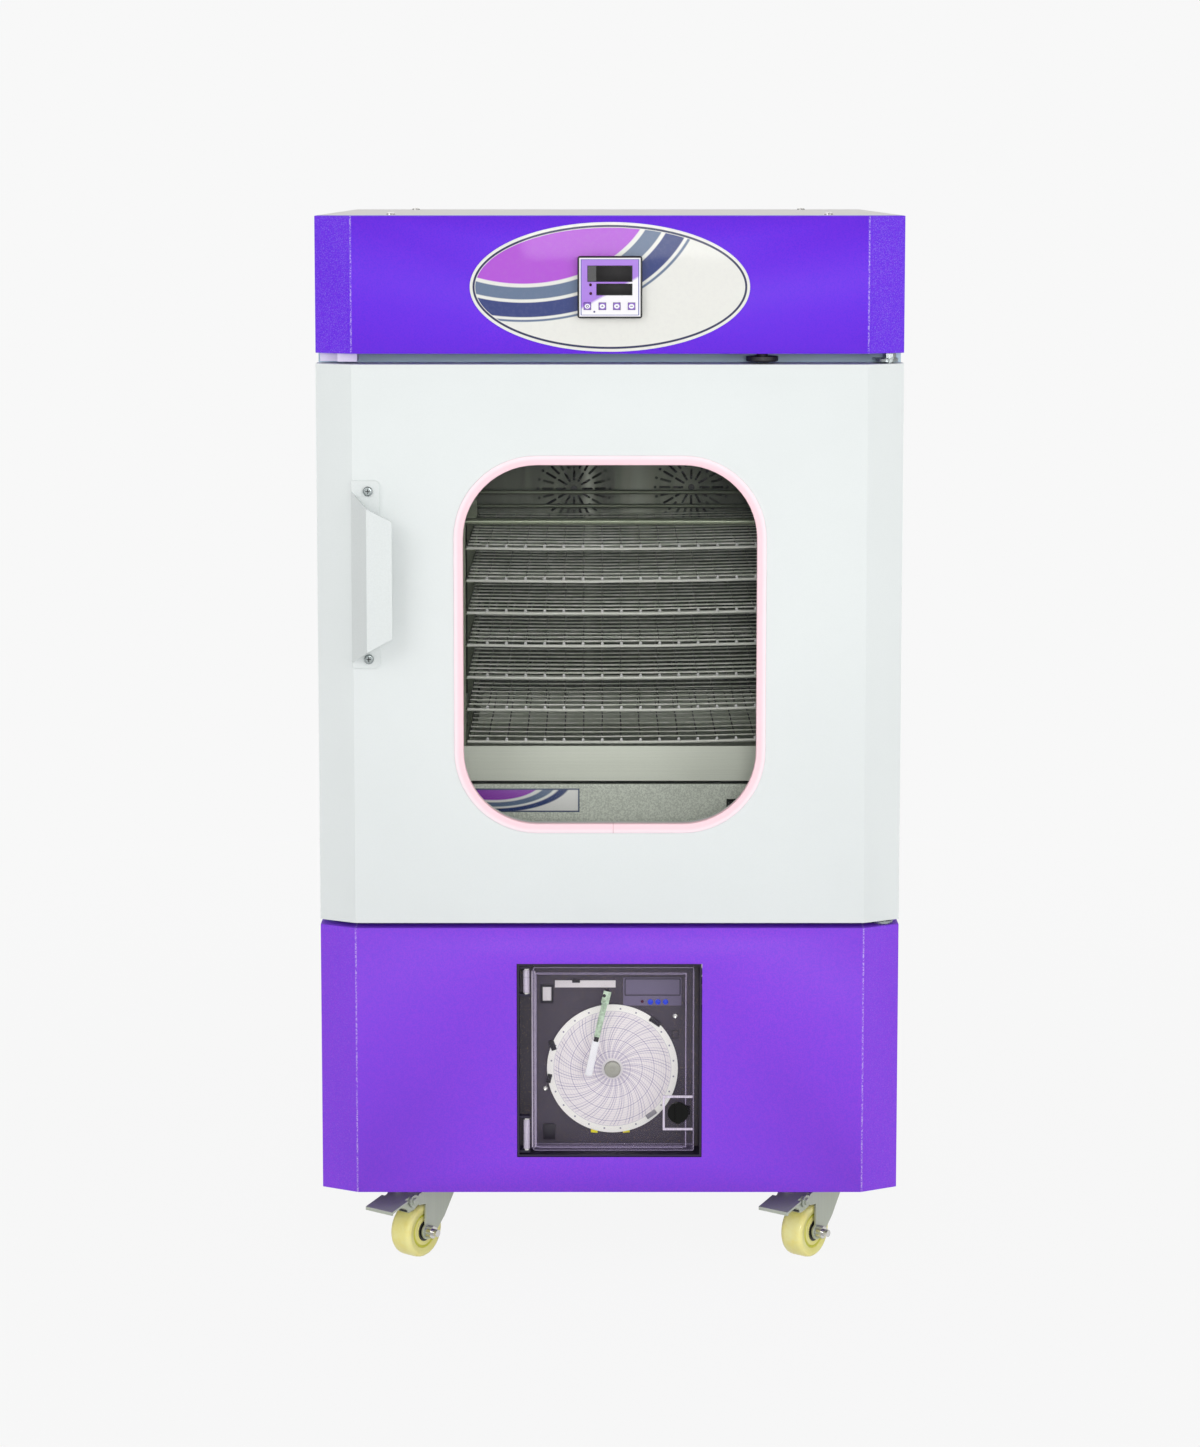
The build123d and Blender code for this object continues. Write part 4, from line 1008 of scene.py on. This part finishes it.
def makePen():
    # pale green spring arm under a clamp, black joint half way, flat white pen at the end
    pen = {"pivot": (-3.0, 322.4), "joint": (-15.0, 270.4), "tip": (-24.2, 227.9), "depth": 26.4}
    y = behind(pen["depth"])
    armGreen = Paint("penArmGreen", rough=0.4)
    stain = armGreen.noise(160, 3, 0.7)
    armGreen.finish(armGreen.mix(stain.step(0.5, 0.12), srgb(150, 172, 146), srgb(200, 222, 196)), stain, 0.2, 0.0004)
    pivot, joint, tip = [Vector((pen[spot][0], y, pen[spot][1])) for spot in ("pivot", "joint", "tip")]

    def bar(work, start, end, wide, front, back, bevel):
        middle = (start + end) / 2
        lean = math.degrees(math.atan2(end.x - start.x, end.z - start.z))
        addPlate(work, (middle.x, middle.z), (wide, (end - start).length), y - front, y + back, lean, bevel)

    def arm(work):
        bar(work, pivot, joint, 6.6, 0.7, 0.7, 0.5)
        bar(work, pivot.lerp(joint, -0.06), pivot.lerp(joint, 0.22), 9.0, 1.3, 0.8, 0.8)
        bar(work, pivot.lerp(joint, 0.42), pivot.lerp(joint, 0.95), 3.6, 1.3, 0.2, 0.4)

    def tag(work):
        bar(work, joint.lerp(tip, 0.06), joint.lerp(tip, 1.02), 8.2, 1.2, 1.0, 0.6)
        addRod(work, (tip.x, y + 0.5, tip.z), (tip.x, y + 7.4, tip.z), 2.2, 16)

    def knuckle(work):
        bar(work, joint.lerp(pivot, 0.03), joint.lerp(tip, 0.09), 5.4, 1.6, 0.9, 0.6)
        addRing(work, (pivot.x - 3.2, 0, pivot.z - 2), (
            (0.01, y - 1.9), (1.5, y - 1.9), (2.0, y - 1.3), (2.0, y)), 20)

    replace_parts(pieceFrom("penArm", arm, armGreen, "pen"), "pen_arm")
    pieceFrom("penTag", tag, moulded("penWhite", srgb(246, 246, 248), 0.35), "pen")
    pieceFrom("penKnuckle", knuckle, moulded("penJointBlack", srgb(30, 34, 28), 0.4), "pen")
    print("pen made")


def makeLid():
    # clear lid with softened edges, the thick bracket round its catch, hinge barrels and their pins
    lid = {"bracket": (60.6, 95.0, 169.0, 209.5), "depth": 1.6, "bar": 2.6, "hinge": (-95.0, 10.0),
           "barrels": ((145.0, 181.4), (327.5, 356.0)), "barrel": 3.7, "knuckle": 9.0,
           "glints": ((-88.9, 0.9), (-85.6, 0.7)), "coverEdge": 0.7, "latchEdge": 0.8}
    softened("recorder_cover", clearLid, lid["coverEdge"])
    softened("recorder_latch", latchBlack, lid["latchEdge"])
    x0, x1, z0, z1 = lid["bracket"]
    bar = lid["bar"]
    y = behind(lid["depth"])

    def bracket(work):
        for a, b, c, d in ((x0, x1, z0, z0 + bar), (x0, x1, z1 - bar, z1), (x0, x0 + bar, z0 + bar, z1 - bar)):
            addBox(work, a, b, y, y + 3.0, c, d, 0.6)

    clearBar = Paint("lidBracket", srgb(238, 228, 246), 0.12)
    streaks = clearBar.noise(1.0, 3, 0.6, clearBar.stretch((900, 200, 40)))
    clearBar.set("Alpha", streaks.step(0.5, 0.25) * 0.45 + 0.4)
    clearBar.bump(streaks, 0.2, 0.0004)
    pieceFrom("lidBracket", bracket, clearBar, "recorder_lid")
    hinge = (lid["hinge"][0], behind(lid["hinge"][1]), 0)

    def barrels(work):
        radius = lid["barrel"]
        for low, high in lid["barrels"]:
            steps = []
            height = low
            while height < high - 1:
                top = min(height + lid["knuckle"], high)
                steps += [(radius - 0.5, height), (radius, height + 0.6), (radius, top - 0.6), (radius - 0.5, top)]
                height = top + 0.01
            addRing(work, hinge, steps, 28, "Z")

    def pins(work):
        for low, high in lid["barrels"]:
            for z in (low - 0.6, high - 1.2):
                addRing(work, hinge, ((1.9, z), (4.3, z), (4.3, z + 1.6), (1.9, z + 1.6)), 28, "Z")

    def glints(work):
        # bright lines where the lid's left wall turns
        for x, wide in lid["glints"]:
            addBox(work, x, x + wide, behind(5.6), behind(6.6), 148, 354, 0.25)

    pieceFrom("lidBarrels", barrels, clearBar, "recorder_lid")
    pieceFrom("lidPins", pins, brightZinc, "recorder_lid")
    pieceFrom("lidGlints", glints, clearBar, "recorder_lid")
    print("lid made")


def makeCasters():
    # broken edges on fork, pedal and wheel, the axle's nut, and the black bearing seals and brake shoes
    caster = {"left": -209.0, "right": 245.0, "front": 95.0, "rear": 605.0, "trail": 28.0, "wheelRadius": 31.5,
              "turn": -126.87, "sealInner": 6.8, "sealOuter": 12.6, "sealAt": 14.0, "nut": (18.7, 26.6, 7.7),
              "thread": (26.6, 33.1, 4.15), "shoe": (43.5, 60.5, -12.6, 12.6, 60.8, 70.5), "shoeEdge": 1.2,
              "wheelEdge": 0.5, "sheetEdge": 0.35}
    sealBlack = moulded("bearingSealBlack", srgb(22, 24, 22), 0.35)
    aim = Matrix.Rotation(math.radians(caster["turn"]), 4, "Z")

    def seals(work):
        inner, outer = caster["sealInner"], caster["sealOuter"]
        for way in (-1, 1):
            at = way * caster["sealAt"]
            addRing(work, (0, 0, 0), ((inner, at - way * 0.6), (inner, at), (inner + 1.5, at + way * 0.35),
                                      (outer - 1.2, at + way * 0.3), (outer, at - way * 0.5)), 36)

    def axleNut(work):
        for (start, end, radius), sides in ((caster["nut"], 6), (caster["thread"], 20)):
            addRod(work, (0, start, 0), (0, end, 0), radius, sides)

    def shoe(work):
        addBox(work, *caster["shoe"], caster["shoeEdge"])

    def placedAt(spot, build):
        # the same build, turned like its caster and moved to a spot
        def placed(work):
            build(work)
            bmesh.ops.transform(work, matrix=Matrix.Translation(spot * mm) @ aim, verts=work.verts)
        return placed

    for end in ("front", "rear"):
        for side in ("left", "right"):
            corner = end + "_" + side
            kingpin = Vector((caster[side], behind(caster[end]), 0))
            hub = kingpin + Vector((-0.6 * caster["trail"], -0.8 * caster["trail"], caster["wheelRadius"]))
            softened("caster_wheel_" + corner, nylonPaint("wheelNylon_" + corner, hub * mm), caster["wheelEdge"], 2, 30)
            softened("caster_fork_" + corner, zincPlate, caster["sheetEdge"])
            pieceFrom("axleNut_" + corner, placedAt(hub, axleNut), brightZinc, "fork_" + corner)
            pieceFrom("bearingSeals_" + corner, placedAt(hub, seals), sealBlack, "wheel_" + corner)
            if end == "front":
                softened("brake_pedal_" + corner, zincPlate, caster["sheetEdge"])
                pieceFrom("brakeShoe_" + corner, placedAt(kingpin, shoe), sealBlack, "pedal_" + corner)
    print("casters made")


def makeScrews():
    # pan heads with a round recess on the roof, and cross recesses for the screws on the pull
    screw = {"roofX": (-250, 250), "roofDepths": (110, 650), "roofTop": 1210.0, "pullX": -270.8,
             "pullHeights": (713.8, 903.3), "pullDepth": -5.25, "recess": (5.1, 0.9),
             "head": ((0.01, 1.9), (0.9, 1.9), (0.9, 2.7), (3.2, 2.4), (4.6, 1.4), (5.0, 0.0))}

    def roofHeads(work):
        steps = [(radius, screw["roofTop"] + rise) for radius, rise in screw["head"]]
        for x in screw["roofX"]:
            for depth in screw["roofDepths"]:
                addRing(work, (x, behind(depth), 0), steps, 24, "Z")

    def recesses(work):
        y = behind(screw["pullDepth"])
        for z in screw["pullHeights"]:
            for turn in (0, 90):
                addPlate(work, (screw["pullX"], z), screw["recess"], y - 0.3, y + 0.1, turn, 0.1)

    pieceFrom("roofScrewHeads", roofHeads, brightZinc, "cabinet")
    pieceFrom("pullScrewRecess", recesses, blackPlastic, "door")
    print("screws made")


def makeCasing():
    # sheet-metal and moulded nodes with their edges broken: width, parts and least angle of each edge
    for name, paint, *edge in (
            ("head_fascia", headPaint, 0.45, 2, 18), ("lower_fascia", lowerPaint, 0.45, 2, 18),
            ("door_skin", doorPaint, 0.7, 2, 18), ("door_handle", pullPaint, 0.9, 3, 25),
            ("roof_cover", casingPaint, 0.45), ("badge_plate", badgeFace, 0.35),
            ("power_rocker", blackPlastic, 0.6), ("rack_tray", trayMetal, 0.4)):
        softened(name, paint, *edge)
    print("casing edges broken")


coatNodes()
makeShelves()
makeGasket()
makeBaseStrip()
makeController()
makeRecorderFace()
makeChart()
makePen()
makeLid()
makeCasters()
makeCasing()
makeScrews()
